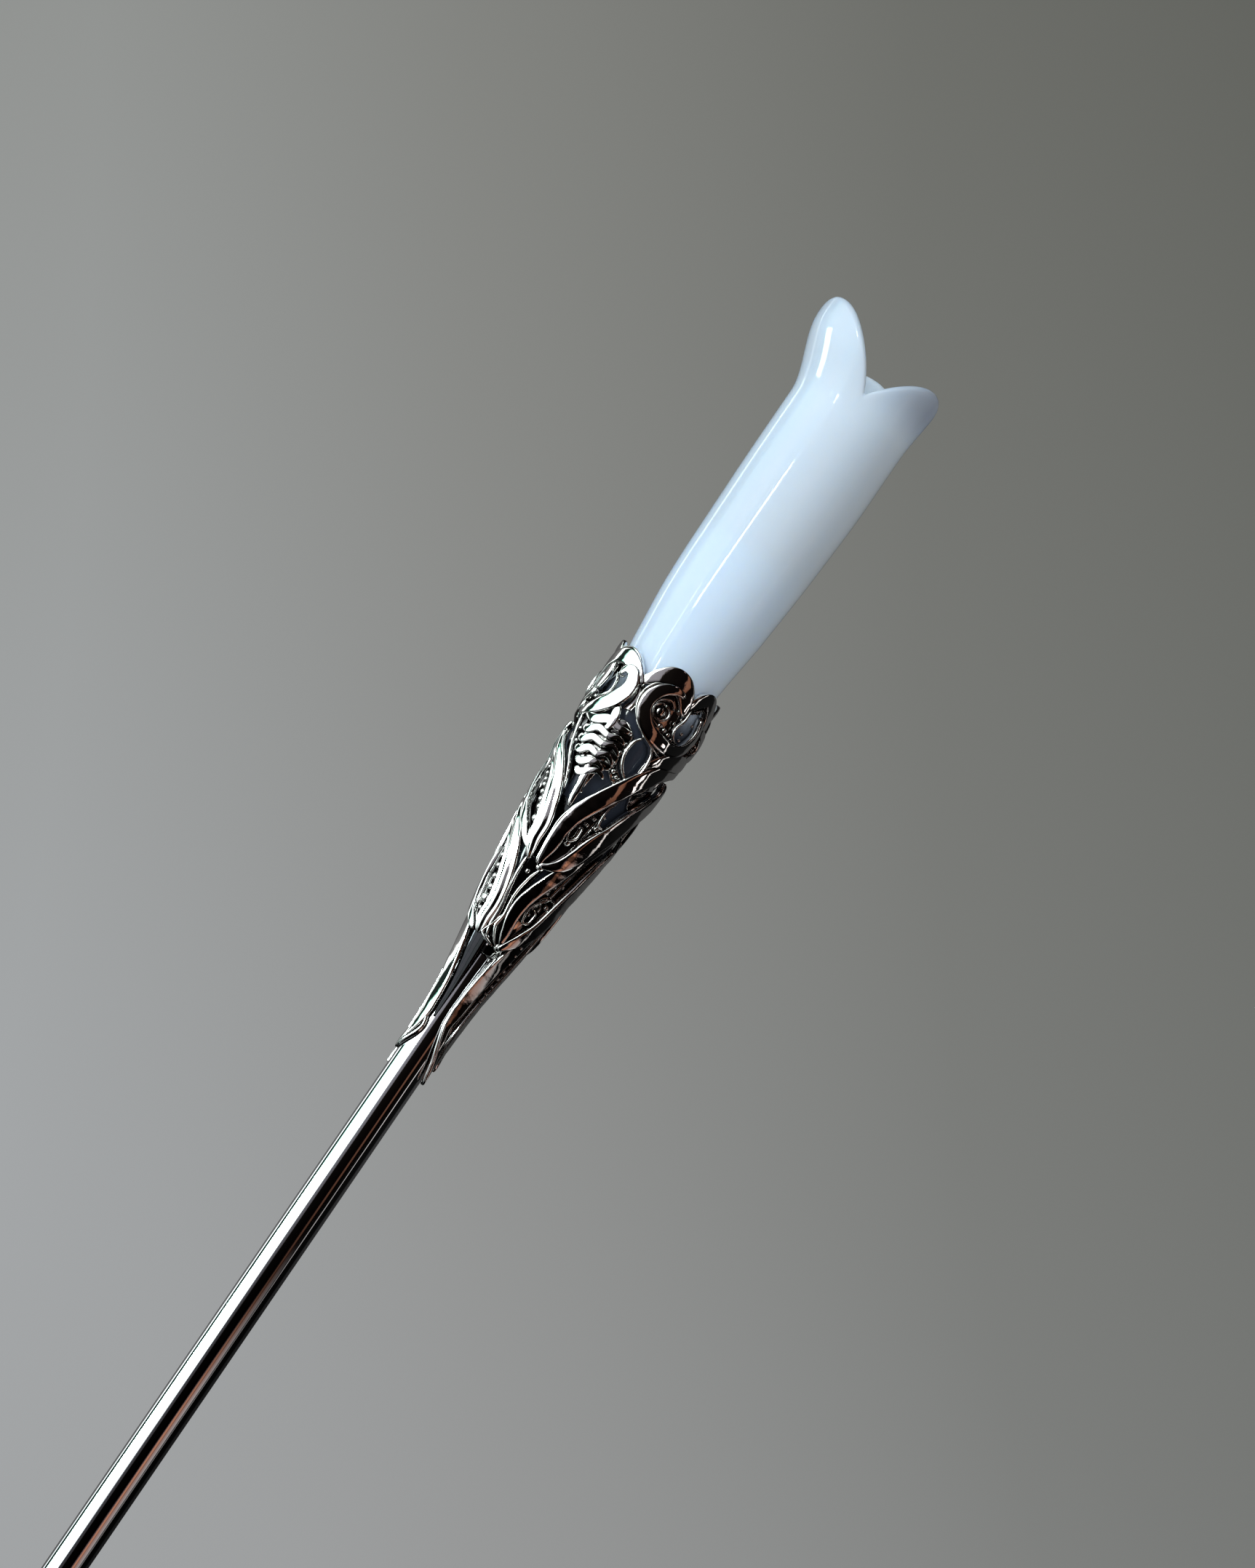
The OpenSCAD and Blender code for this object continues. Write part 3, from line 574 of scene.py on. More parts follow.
        ("g", 0.55, [(-118, 137.8, 0.3, 0), (-96, 136, 0.8, 0.05), (-76, 134.4, 1.3, 0.12),
                     (-61, 133, 1.6, 0.2), (-49, 131.5, 1.7, 0.24), (-40, 129.9, 1.65, 0.25),
                     (-33, 128, 1.6, 0.25), (-30, 126, 1.45, 0.24), (-33, 124.4, 1.4, 0.18),
                     (-31, 123, 0.6, 0)]),
        ("b", 0.5, [(-114, 132, 0.3, 0), (-101, 130.2, 0.55, 0.05), (-93, 128.2, 0.65, 0.1),
                    (-84, 126.4, 0.75, 0.12), (-75, 125.1, 0.85, 0.12), (-62, 124, 0.9, 0.1),
                    (-44, 123, 0.4, 0)]),
        ("b", 0.4, [(-22, 131.2, 0.25, 0), (-22, 129.2, 0.35, 0.05), (-20, 127.2, 0.55, 0.12),
                    (-18, 125.6, 0.65, 0.12), (-18, 124.2, 0.4, 0.05), (-15, 123.2, 0.2, 0)]),
    ],
    "tongue_left": [
        ("b", 0.3, [(-92, 128.4, 0.6, -0.05), (-83, 126.4, 1.2, 0), (-76, 123.8, 1.6, 0),
                    (-67, 121.2, 1.7, 0), (-59, 118.6, 1.6, 0), (-53, 116.2, 1.35, 0),
                    (-49, 114.2, 1.0, 0), (-62, 112.2, 0.65, 0.02), (-90, 110.3, 0.25, 0)]),
        ("r", 0.25, [(-42, 114.6, 0.3, 0), (-32, 113.2, 0.4, 0.05), (-46, 112, 0.4, 0.05),
                     (-68, 111, 0.34, 0.05), (-90, 110.3, 0.2, 0)]),
    ],
    "tongue_right": [
        ("b", 0.3, [(64, 128.6, 0.65, -0.05), (57, 126.2, 1.3, 0), (46, 123.6, 1.37, 0),
                    (36, 121, 1.37, 0), (28, 118.4, 1.3, 0), (23, 116, 1.17, 0),
                    (22, 114.4, 0.91, 0), (34, 112.7, 0.78, 0.02), (52, 110.8, 0.65, 0.03),
                    (66, 108.9, 0.33, 0)]),
        ("r", 0.3, [(22, 122, 0.15, 0.05), (17, 119.6, 0.28, 0.1), (13, 117.4, 0.32, 0.1),
                    (12, 115.6, 0.34, 0.1), (18, 114, 0.34, 0.1), (36, 112.2, 0.34, 0.1),
                    (56, 110.2, 0.34, 0.1), (68, 108.8, 0.2, 0.02)]),
        ("b", 0.3, [(96, 127.4, 0.48, 0), (89, 125.2, 1.02, 0), (84, 122.4, 1.14, 0),
                    (78, 119.4, 1.14, 0), (70, 116.7, 1.08, 0), (64, 114.4, 1.02, 0),
                    (62, 112.4, 0.84, 0), (60, 110.4, 0.36, 0)]),
    ],
}

# Thin sheets between strips: (left edge, right edge, options). One option sets how far a sheet is
# tinted near-black as painted shade; the dark sheets sunk lowest are painted shade put where the
# openwork shows only shadow.
SHADOW_SHEET = {"base": -0.3, "dish": -0.1, "painted_shade": 1.0}
BLADES = {
    "rim_scroll": [
        ([(-88, 148.4), (-72, 150), (-52, 150.8), (-36, 150.6), (-24, 149.6)],
         [(-78, 147.2), (-66, 148.8), (-54, 149.8), (-44, 149.9), (-36, 149.4)], {}),
        ([(-32, 150), (-24, 149.4), (-22, 148.2), (-26, 147)],
         [(-20, 150), (-14, 149.4), (-13, 148.2), (-15, 147.2)], {"base": -0.15}),
    ],
    "volute_lobe": [
        ([(-10, 151), (-15, 149.6), (-12, 148), (-4, 146.9), (8, 146.1), (22, 145.7)],
         [(0, 151.9), (16, 152), (30, 150.6), (35, 149), (33, 147.8), (38, 146.8)],
         {"across": 12, "dish": -0.05}),
    ],
    "tall_lobe": [
        ([(31, 150.2), (39, 151.1), (50, 152.2), (62, 152.1)],
         [(37, 149.8), (46, 150.2), (56, 150.6), (66, 150.6)], {"dish": -0.05}),
        ([(64, 150.4), (66, 149), (60, 147.4), (50, 146.6)],
         [(72, 150.6), (74, 149), (72, 147.2), (62, 146.2)], {"dish": 0.05}),
    ],
    "rim_band": [
        ([(74, 150.4), (84, 152), (98, 152.2), (110, 151)],
         [(76, 148.2), (86, 147.4), (98, 147.2), (108, 147.6)], {"dish": 0.1}),
        ([(112, 147.2), (90, 146.2), (66, 145.3), (46, 144.6), (36, 144)],
         [(110, 145.8), (88, 145), (68, 144.4), (50, 143.6), (36, 142.4)], {"base": -0.2}),
    ],
    "acanthus": [
        ([(-66, 145.4), (-48, 144.8), (-46, 143.4), (-42, 142.1), (-33, 141.1), (-24, 140.6),
          (-20, 139.4), (-17, 138)],
         [(-10, 146.2), (4, 145.2), (4, 143.8), (5, 142.4), (2, 141.6), (-7, 140.9), (-10, 139.4),
          (-11, 138)], {"ribs": 9, "rib_h": 0.15, "dish": 0.12, "steps": 12, "across": 14}),
        ([(4, 142.8), (10, 142), (20, 141.4)], [(2, 141.4), (10, 140.9), (18, 140.8)], {}),
        ([(-82, 145.2), (-66, 143), (-54, 141.2), (-42, 139.4), (-34, 137.4)],
         [(-46, 145), (-46, 143.4), (-40, 142), (-33, 141), (-30, 137.2)], SHADOW_SHEET),
        ([(-36, 137.6), (-28, 135.6), (-24, 133.4), (-22, 131.4)],
         [(-9, 137.4), (-12, 135.3), (-11, 133.5), (-9, 131.6)], SHADOW_SHEET),
    ],
    "upper_leaf_right": [
        ([(70, 144.4), (48, 143), (32, 141.2), (18, 139.2), (6, 137.2), (-2, 135.4), (-4, 133.4),
          (-5, 131.4)],
         [(72, 142.4), (54, 142), (34, 141.4), (27, 139.2), (25, 137.4), (24, 135.4),
          (22, 133.6), (10, 131.5)], {"across": 12, "dish": -0.15, "base": -0.08}),
        ([(60, 142), (50, 141.4), (40, 141.6)], [(62, 140.4), (53, 139.6), (46, 140)], {}),
        ([(26, 137.2), (24, 135.4), (20, 133.6), (8, 131.6)],
         [(46, 136.4), (36, 134.8), (28, 133.2), (14, 131.7)], {}),
        ([(66, 140), (52, 137.6), (40, 135.2), (30, 133), (18, 131.4)],
         [(84, 139.4), (66, 137), (50, 135.2), (36, 133.2), (24, 131)], SHADOW_SHEET),
    ],
    "upper_leaf_left": [
        ([(-104, 142.6), (-86, 141.4), (-70, 139.9), (-54, 138.4), (-43, 136.6), (-37, 134.6),
          (-30, 132.4)],
         [(-112, 140.4), (-94, 138.6), (-82, 136.8), (-70, 135.2), (-58, 134), (-46, 133),
          (-32, 131.9)], {"dish": -0.12, "base": -0.25, "painted_shade": 0.8}),
        ([(-110, 140), (-92, 137.6), (-78, 135.6), (-62, 134.4)],
         [(-112, 138), (-96, 136), (-80, 134.8), (-62, 133.4)], SHADOW_SHEET),
    ],
    "lower_leaf_right": [
        ([(58, 135.8), (38, 133.4), (28, 131.4), (20, 129.8), (12, 128), (8, 126.2), (12, 124.2)],
         [(72, 134), (64, 131), (58, 128.8), (50, 126.8), (38, 125.2), (26, 124.2), (16, 123.4)],
         {"across": 12, "dish": -0.15, "base": -0.08}),
        ([(-23, 131.4), (-23, 129), (-22, 127), (-20, 125.2), (-19, 123.4)],
         [(8, 131.2), (2, 129), (-1, 126.8), (0, 125.2), (4, 123)], SHADOW_SHEET),
    ],
    "lower_leaf_left": [
        ([(-104, 135.4), (-84, 133.4), (-68, 131.9), (-57, 130.4), (-48, 128.4), (-42, 126.2),
          (-42, 124.6)],
         [(-114, 132), (-101, 130.2), (-93, 128.2), (-84, 126.6), (-75, 125.4), (-62, 124.4),
          (-46, 123.6)], {"dish": -0.12, "base": -0.25, "painted_shade": 0.8}),
    ],
    "tongue_left": [
        ([(-50, 123.5), (-46, 120.5), (-38, 117.5), (-26, 114.5)],
         [(-12, 123.2), (-15, 120), (-18, 117.5), (-20, 114.5)],
         {"base": -0.08, "dish": 0.0, "thick": 0.15, "painted_shade": 1.4}),
    ],
    "tongue_right": [
        ([(62, 126.6), (48, 123.4), (38, 120.6), (30, 117.8), (26, 115.6)],
         [(88, 124.6), (80, 121.6), (72, 118.4), (62, 115.8), (50, 113.6)],
         {"dish": -0.05, "base": -0.02, "thick": 0.15}),
        ([(70, 129.4), (60, 127), (44, 124.8), (28, 123.2)],
         [(62, 127), (50, 124.4), (38, 122.6), (28, 122.4)], {"base": -0.15}),
    ],
}

# Grains and curls of the casting that are too small for a strip: (azimuth, height, radius, lift).
NODULES = {
    "rim_scroll": [(-45, 149.6, 0.3, 0.15), (-88, 147.4, 0.34, 0.1), (-70, 146.9, 0.22, 0)],
    "volute_lobe": [(32, 151, 0.2, 0.1), (28, 149.6, 0.22, 0.1), (27, 150.5, 0.24, 0.1)],
    "tall_lobe": [(40, 150.7, 0.26, 0.1), (78, 148.2, 0.3, 0.4)],
    "rim_band": [(32, 145.4, 0.34, 0.2), (36, 143.8, 0.2, 0.1)],
    "acanthus": [(-2, 145.4, 0.26, 0.1), (1, 144.3, 0.24, 0.1), (1, 143.4, 0.26, 0.1),
                 (0, 142.3, 0.28, 0.1), (6, 141.7, 0.24, 0.1), (12, 141.4, 0.2, 0.05),
                 (-42, 144.4, 0.36, 0.1), (-42, 143.3, 0.36, 0.1), (-38, 142.3, 0.34, 0.1),
                 (-30, 141.4, 0.32, 0.1), (-18, 138.8, 0.22, 0.05), (-11, 138.6, 0.22, 0.05),
                 (-18, 137.8, 0.18, 0), (-60, 143.6, 0.2, -0.1), (-54, 142.4, 0.22, -0.1),
                 (-50, 141.4, 0.18, -0.1), (-44, 140.6, 0.18, -0.1)],
    "upper_leaf_right": [(40, 142.4, 0.2, 0.05), (46, 142.6, 0.26, 0.1), (33, 140.9, 0.2, 0.05),
                         (20, 137.2, 0.22, 0.1), (17, 136.4, 0.2, 0.1), (30, 136.8, 0.3, 0.15)],
    "lower_leaf_right": [(43, 133.2, 0.22, 0.1), (44, 130.6, 0.22, 0.1), (33, 130.2, 0.26, 0.1),
                         (28, 129.6, 0.24, 0.1), (44, 128.2, 0.3, 0.15), (24, 126.8, 0.22, 0.15),
                         (-12, 130, 0.26, -0.05), (-14, 122.9, 0.22, 0.1)],
    "lower_leaf_left": [(-58, 125, 0.22, 0.05)],
    "tongue_left": [(-88, 110.5, 0.16, 0)],
    "tongue_right": [(66, 109.1, 0.2, 0), (64, 109.8, 0.18, 0.02)],
}
TURNS = {"front": 0, "back": 180}
WOBBLE = 0.02              # unevenness of the castings, mm
noise.seed_set(7)          # noise_vector is seeded from the clock unless this is set


def cast_piece(kind, side):
    turn = TURNS[side]
    verts, faces = [], []
    for section, height, points in STRIPS[kind]:
        add_part(verts, faces, ribbon(points, section, turn, height, wobble=WOBBLE))
    # How much painted shade each point carries; only the dark sheets carry any.
    painted_shade_by_point = [0.0] * len(verts)
    for left, right, options in BLADES[kind]:
        shape = {k: v for k, v in options.items() if k != "painted_shade"}
        add_part(verts, faces, blade(left, right, turn, **shape))
        painted_shade_by_point += [options.get("painted_shade", 0.0)] * (len(verts) - len(painted_shade_by_point))
    for az, z, r, lift in NODULES.get(kind, ()):
        add_part(verts, faces, bead(az, z, r, lift, turn, sides=10))
    painted_shade_by_point += [0.0] * (len(verts) - len(painted_shade_by_point))
    obj = to_object(f"{kind}_{side}_cast", verts, faces)
    obj.data.attributes.new("painted_shade", "FLOAT", "POINT").data.foreach_set("value", painted_shade_by_point)
    return settle(obj, "cast", [f"{kind}_{side}"])


for kind in STRIPS:
    for side in TURNS:
        cast_piece(kind, side)


# ---------------------------------------------------------------- beads
def row(start, end, count):
    return [tuple(a + (b - a) * i / (count - 1) for a, b in zip(start, end))
            for i in range(count)]


BEADS = [row((18, 147.5, 0.26, 0.3), (44, 147, 0.2, 0.25), 5),
         [(46, 147.5, 0.2, 0.25), (44, 148.1, 0.2, 0.25), (35, 149.1, 0.2, 0.2),
          (30, 148.4, 0.2, 0.2), (22, 150.5, 0.2, 0.2), (51, 149.3, 0.18, 0.2)],
         row((-76, 139.2, 0.18, 0), (-64, 138, 0.22, 0.05), 3),
         row((-60, 137.5, 0.24, 0.08), (-46, 135.5, 0.32, 0.1), 4), [(-42, 134.4, 0.4, 0.1)],
         row((27, 140.4, 0.2, 0.1), (30, 134, 0.3, 0.15), 6),
         row((-100, 133.4, 0.2, 0), (-72, 131, 0.24, 0.05), 4),
         row((-66, 130.1, 0.26, 0.08), (-54, 127.1, 0.3, 0.1), 4), [(-54, 126, 0.5, 0.1)],
         row((38, 133.4, 0.28, 0.3), (21, 129.8, 0.3, 0.3), 6),
         row((50, 124.8, 0.26, 0.2), (61, 117.9, 0.2, 0.2), 9)]
TIPS = [(0, 130.9, 0.42, 0.1), (14, 122.8, 0.42, 0.1), (-14, 123, 0.34, 0.1),
        (28, 133.8, 0.42, 0.1), (10, 134.1, 0.34, 0.1)]

verts, faces = [], []
for turn in TURNS.values():
    for line in BEADS:
        for az, z, r, lift in line:
            add_part(verts, faces, bead(az, z, r, lift, turn))
settle(to_object("leaf_bead_rows", verts, faces), "cast", ["leaf_beads"])

verts, faces = [], []
for turn in TURNS.values():
    for az, z, r, lift in TIPS:
        add_part(verts, faces, bead(az, z, r, lift, turn, sides=20))
settle(to_object("tip_bead_set", verts, faces), "cast", ["tip_beads"])

verts, faces = [], []
for turn in TURNS.values():
    add_part(verts, faces, bead(11, 148.55, 0.5, 0.25, turn, sides=24, flat=0.6))
    ring = [(11 + 8.5 * math.sin(math.radians(a)), 148.55 + 0.72 * math.cos(math.radians(a)),
             0.3, 0.38) for a in range(0, 361, 30)]
    add_part(verts, faces, ribbon(ring, "r", turn, 0.3))
settle(to_object("volute_eye_set", verts, faces), "cast", ["volute_eyes"])


# ---------------------------------------------------------------- flower
PETALS = [(-62, 190.0, 2.35), (60, 187.6, 0.65), (180, 187.8, 0.6)]
VALLEY_Z = 183.3
CURL_Z = VALLEY_Z - 2.4
ROOT_Z = 127.0
HOLLOW_Z = 166.0
GLASS_WALL = 1.1
LIP = 0.55                 # the petals' edge is rounded over this height, mm
BEND_T = 0.86              # finer rings above this share of the height
FLOWER_SIDES = 160


def turn_between(a, b):
    return abs((a - b + 540) % 360 - 180)


def petal_weights(az):
    """How far each petal reaches at an azimuth: 1 at its middle, 0 at the notches."""
    return [(max(0.0, 1 - turn_between(az, p[0]) / 60.0), p) for p in PETALS]


def petal_top(az):
    top = VALLEY_Z
    for w, p in petal_weights(az):
        top += (p[1] - VALLEY_Z) * math.sin(w * math.pi / 2) ** 0.9
    return top


def curl(az, z):
    h = smoothstep((z - CURL_Z) / 7.5)
    total = weight = 0.0
    for p in PETALS:
        near = max(0.0, 1 - turn_between(az, p[0]) / 85.0) ** 2
        share = min(turn_between(az, p[0]) / 60.0, 1.0)
        total += near * p[2] * (1 - 0.35 * share)
        weight += near
    return total / weight * h


def glass_ring(t, floor_z, drop, inset, sides):
    ring = []
    for k in range(sides):
        az = -k * 360 / sides
        z = floor_z + (petal_top(az) - drop - floor_z) * t
        ring.append(around(az, z, glass_r(z) + curl(az, z) - inset))
    return ring


def build_flower():
    fine = 1 - BEND_T
    outside = ([i / 60 * BEND_T for i in range(60)]
               + [BEND_T + fine * i / 24 for i in range(25)])
    inside = ([1 - fine * i / 12 for i in range(13)]
              + [BEND_T * (1 - i / 20) for i in range(1, 21)])
    rings = [glass_ring(t, ROOT_Z, LIP, 0, FLOWER_SIDES) for t in outside]
    for i in range(1, 9):
        a = math.pi * i / 9
        rings.append(glass_ring(1, ROOT_Z, LIP - 0.52 * math.sin(a),
                                GLASS_WALL / 2 * (1 - math.cos(a)), FLOWER_SIDES))
    rings += [glass_ring(t, HOLLOW_Z, LIP, GLASS_WALL, FLOWER_SIDES) for t in inside]
    verts, faces = skin(rings)
    obj = to_object("flower_glass", verts, faces)
    thin = obj.data.attributes.new("thin", "FLOAT", "POINT")
    root_shade = obj.data.attributes.new("root_shade", "FLOAT", "POINT")
    for i, v in enumerate(obj.data.vertices):
        z = v.co.z / MM
        az = math.degrees(math.atan2(v.co.x / MM - head_x(z), -v.co.y / MM))
        # The right petal's grey is mostly painted shade; the left petal's top gets only a little.
        right = max(0.0, 1 - turn_between(az, 62) / 62.0)
        left = max(0.0, 1 - turn_between(az, -62) / 70.0)
        # Painted shade on the glass root, fading out above the calyx rim.
        root_shade.data[i].value = 1 - smoothstep((z - 147.5) / 4.5)
        thin.data[i].value = (0.95 * right ** 0.7 * smoothstep((z - 181.5) / 4.5)
                              + 0.25 * left * smoothstep((z - 186) / 4))
    return settle(obj, "glass", ["flower"])


build_flower()

# ---------------------------------------------------------------- rod and holder
ROD_R = 1.75
ROD_Z = (42.0, 123.0)
FERRULE_R = 3.8


def lathe_piece(name, profile, material, nodes, sides=96, centre=(0.0, 0.0), closed=True):
    verts, faces = lathe(profile, sides, centre, closed)
    return settle(to_object(name, verts, faces), material, nodes)


rod_side = [(ROD_R, ROD_Z[0] + (ROD_Z[1] - ROD_Z[0]) * i / 54) for i in range(55)]
lathe_piece("rod_polished", [(0.01, ROD_Z[0])] + rounded(rod_side) + [(0.01, ROD_Z[1])],
            "rod", ["shaft"], closed=False)

reducer_outer = rounded([(3.45, 41.05), (3.49, 41.2), (3.49, 45.9), (FERRULE_R, 46.05),
                         (FERRULE_R, 46.75), (3.55, 46.95), (3.35, 47.1), (3.35, 47.3),
                         (3.5, 47.5), (3.35, 47.75), (3.1, 48.0), (2.98, 49.3), (2.62, 50.6),
                         (2.4, 51.4), (2.15, 51.6), (2.15, 51.75), (2.3, 51.95), (2.2, 52.2),
                         (2.1, 52.35), (1.8, 52.38)], 0.12, 4)
lathe_piece("reducer_turned", reducer_outer + [(1.76, 52.3), (1.76, 42.1), (1.76, 41.15)],
            "rod", ["reducer"])
lathe_piece("grip_ring_rolled",
            rounded([(1.77, 52.42), (2.1, 52.42), (2.33, 52.58), (2.33, 52.92), (2.1, 53.08),
                     (1.77, 53.08), (1.77, 52.5)], 0.15, 5),
            "rod", ["grip_ring"])

groove = [(FERRULE_R, 26.5)]
for z in (27.2, 27.8, 28.4, 43.6, 44.2, 44.8):
    groove += [(FERRULE_R, z - 0.16), (FERRULE_R - 0.1, z), (FERRULE_R, z + 0.16)]
ferrule_outer = ([(3.52, 26.02), (3.72, 26.02), (FERRULE_R, 26.15)] + groove
                 + [(FERRULE_R, 45.85), (3.72, 45.98), (3.52, 45.98)])
lathe_piece("ferrule_sleeve", rounded(ferrule_outer, 0.08, 3) + [(3.5, 45.9), (3.5, 26.1)],
            "rod", ["ferrule"])

lathe_piece("calyx_cup_cast",
            [(0.85, 122.9), (1.76, 122.6), (1.76, 121.6), (1.95, 121.55), (2.1, 121.8),
             (2.4, 122.6), (2.58, 123.2), (2.75, 124.4), (2.92, 125.6), (3.04, 126.8),
             (3.06, 127.5), (2.7, 127.58), (2.3, 127.5), (2.2, 127.02), (0.85, 127.0)],
            "cast", ["calyx_cup"], sides=72)
lathe_piece("cement_plug", [(0.82, 127.0), (1.12, 127.02), (1.13, 134.6), (0.9, 134.9),
                            (0.82, 134.5)], "cement", ["peg_cement"], sides=48,
            centre=(-0.2, 0.0))
lathe_piece("peg_wire", rounded([(0.01, 123.05), (0.78, 123.05), (0.79, 123.4), (0.79, 133.6),
                                 (0.6, 133.95), (0.01, 133.98)], 0.1),
            "wire", ["flower_peg"], sides=40, centre=(-0.2, 0.0), closed=False)

for node, material in (("nib_clip", "spring"), ("nib", "nib")):
    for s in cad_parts[node].material_slots:
        s.material = MATERIALS[material]


# ---------------------------------------------------------------- camera
TARGET = Vector((0.002, 0.0, 0.142))
CAMERA_DISTANCE = 0.300
CAMERA_ELEVATION = math.radians(-6)
ROLL = math.radians(34.32)
LENS = 75.1                # mm, on a 36 mm sensor

camera_data = bpy.data.cameras.new("camera")
camera_data.lens = LENS
camera_data.sensor_width = 36
camera_data.clip_start = 0.01
camera_data.clip_end = 10
camera = bpy.data.objects.new("camera", camera_data)
bpy.context.scene.collection.objects.link(camera)
camera.location = TARGET + CAMERA_DISTANCE * Vector((0, -math.cos(CAMERA_ELEVATION),
                                                     math.sin(CAMERA_ELEVATION)))
look = (TARGET - camera.location).to_track_quat("-Z", "Y")
camera.rotation_mode = "QUATERNION"
camera.rotation_quaternion = look @ Quaternion((0, 0, 1), ROLL)
bpy.context.scene.camera = camera


# ---------------------------------------------------------------- stage
CENTRE = Vector((0.0, 0.0, 0.14))
FLOOR_Z = -0.02            # room for the nib, which pulls out by 12 mm


def stage_bowl():
    """A pale floor that curves up into a wall on every side, glowing with painted light: brighter
    and bluer to one side, darker and warmer towards the top.
    """
    flat, wall, top, bend = 0.75, 1.35, 2.2, 0.6
    profile = [(0.00001, 0.0), (0.2, 0.0), (flat * 0.7, 0.0), (flat, 0.0)]
    profile += [(flat + bend * math.sin(a), bend * (1 - math.cos(a)))
                for a in (math.radians(x) for x in range(6, 91, 6))]
    profile += [(wall, 1.2), (wall, top)]
    verts, faces = lathe([(r / MM, (z + FLOOR_Z) / MM) for r, z in profile], 96)
    faces = [f for f in faces if len(f) == 4]
    bowl = to_object("stage_bowl", verts, faces)
    n = Nodes("stage_paper")
    place = n.add("ShaderNodeSeparateXYZ",
                  {0: n.add("ShaderNodeTexCoord").outputs["Object"]}).outputs
    right = n.math("ADD", n.math("MULTIPLY", place[0], 0.826), n.math("MULTIPLY", place[2], 0.564))
    up = n.math("SUBTRACT", n.math("MULTIPLY", place[2], 0.826),
                n.math("MULTIPLY", place[0], 0.564))
    side = n.ramp(n.remap(right, -0.1, 0.72, 0, 1), [
        (0.0, (0.378, 0.392, 0.405, 1)), (0.22, (0.288, 0.292, 0.290, 1)),
        (0.5, (0.187, 0.190, 0.180, 1)), (0.75, (0.138, 0.141, 0.129, 1)),
        (1.0, (0.149, 0.153, 0.141, 1))])
    fade = n.remap(up, -0.45, 0.75, 1.2, 0.68)
    fade_warm = n.mix(n.remap(up, -0.3, 0.6, 0, 1), (1.0, 1.0, 1.03, 1), (1.0, 0.99, 0.92, 1))
    tint = n.add("ShaderNodeVectorMath", {0: side, 1: fade_warm}, operation="MULTIPLY").outputs[0]
    tint = n.add("ShaderNodeVectorMath", {0: tint, "Scale": fade}, operation="SCALE").outputs[0]
    glow = n.add("ShaderNodeEmission", {"Color": tint, "Strength": 0.9})
    paper = n.add("ShaderNodeBsdfDiffuse", {"Color": grey(0.12)})
    bowl.data.materials.append(n.finish(n.add("ShaderNodeAddShader", {
        0: glow.outputs[0], 1: paper.outputs[0]}).outputs[0]))
    bowl.visible_glossy = False


def hide_from(obj, *rays):
    for ray in rays:
        setattr(obj, f"visible_{ray}", False)


# What the metal and the glass reflect: (azimuth, colour, radiance). 0 is towards the camera.
ROOM = [(-180, (1, 1, 1), 0.07), (-150, (1, 1, 1.02), 0.10), (-131, (1, 1, 1), 0.22),
        (-129, (0.9, 1, 0.97), 1.6), (-120, (0.9, 1, 0.97), 1.6), (-118, (0.3, 0.4, 0.38), 0.06),
        (-103, (0.2, 0.4, 0.33), 0.05), (-101, (0.45, 1, 0.78), 1.1), (-95, (0.8, 1, 1), 2.6),
        (-72, (0.92, 0.98, 1), 3.0), (-70.5, (0.55, 0.68, 0.78), 1.4), (-69, (0.92, 0.97, 1), 3.0),
        (-52, (0.94, 0.98, 1), 2.8), (-50.5, (0.5, 0.75, 0.7), 0.9), (-49, (0.9, 1, 0.98), 2.6),
        (-36, (0.9, 1, 0.96), 2.2), (-33, (0.62, 0.6, 0.66), 0.5), (-17, (0.62, 0.6, 0.66), 0.36),
        (-15, (0.5, 0.4, 0.35), 0.012), (33, (0.3, 0.2, 0.2), 0.008), (35, (1, 0.45, 0.28), 0.20),
        (43, (1, 0.42, 0.25), 0.16), (45, (0.4, 0.2, 0.15), 0.008), (72, (0.5, 0.5, 0.5), 0.008),
        (73, (1, 0.93, 0.9), 0.9), (76, (1, 0.93, 0.9), 0.9), (77, (0.5, 0.5, 0.5), 0.008),
        (114, (0.5, 0.5, 0.5), 0.012), (119, (1, 1, 1), 0.05), (180, (1, 1, 1), 0.07)]
BRIGHTEST = 3.0
WINDOW_GAIN = 1.05


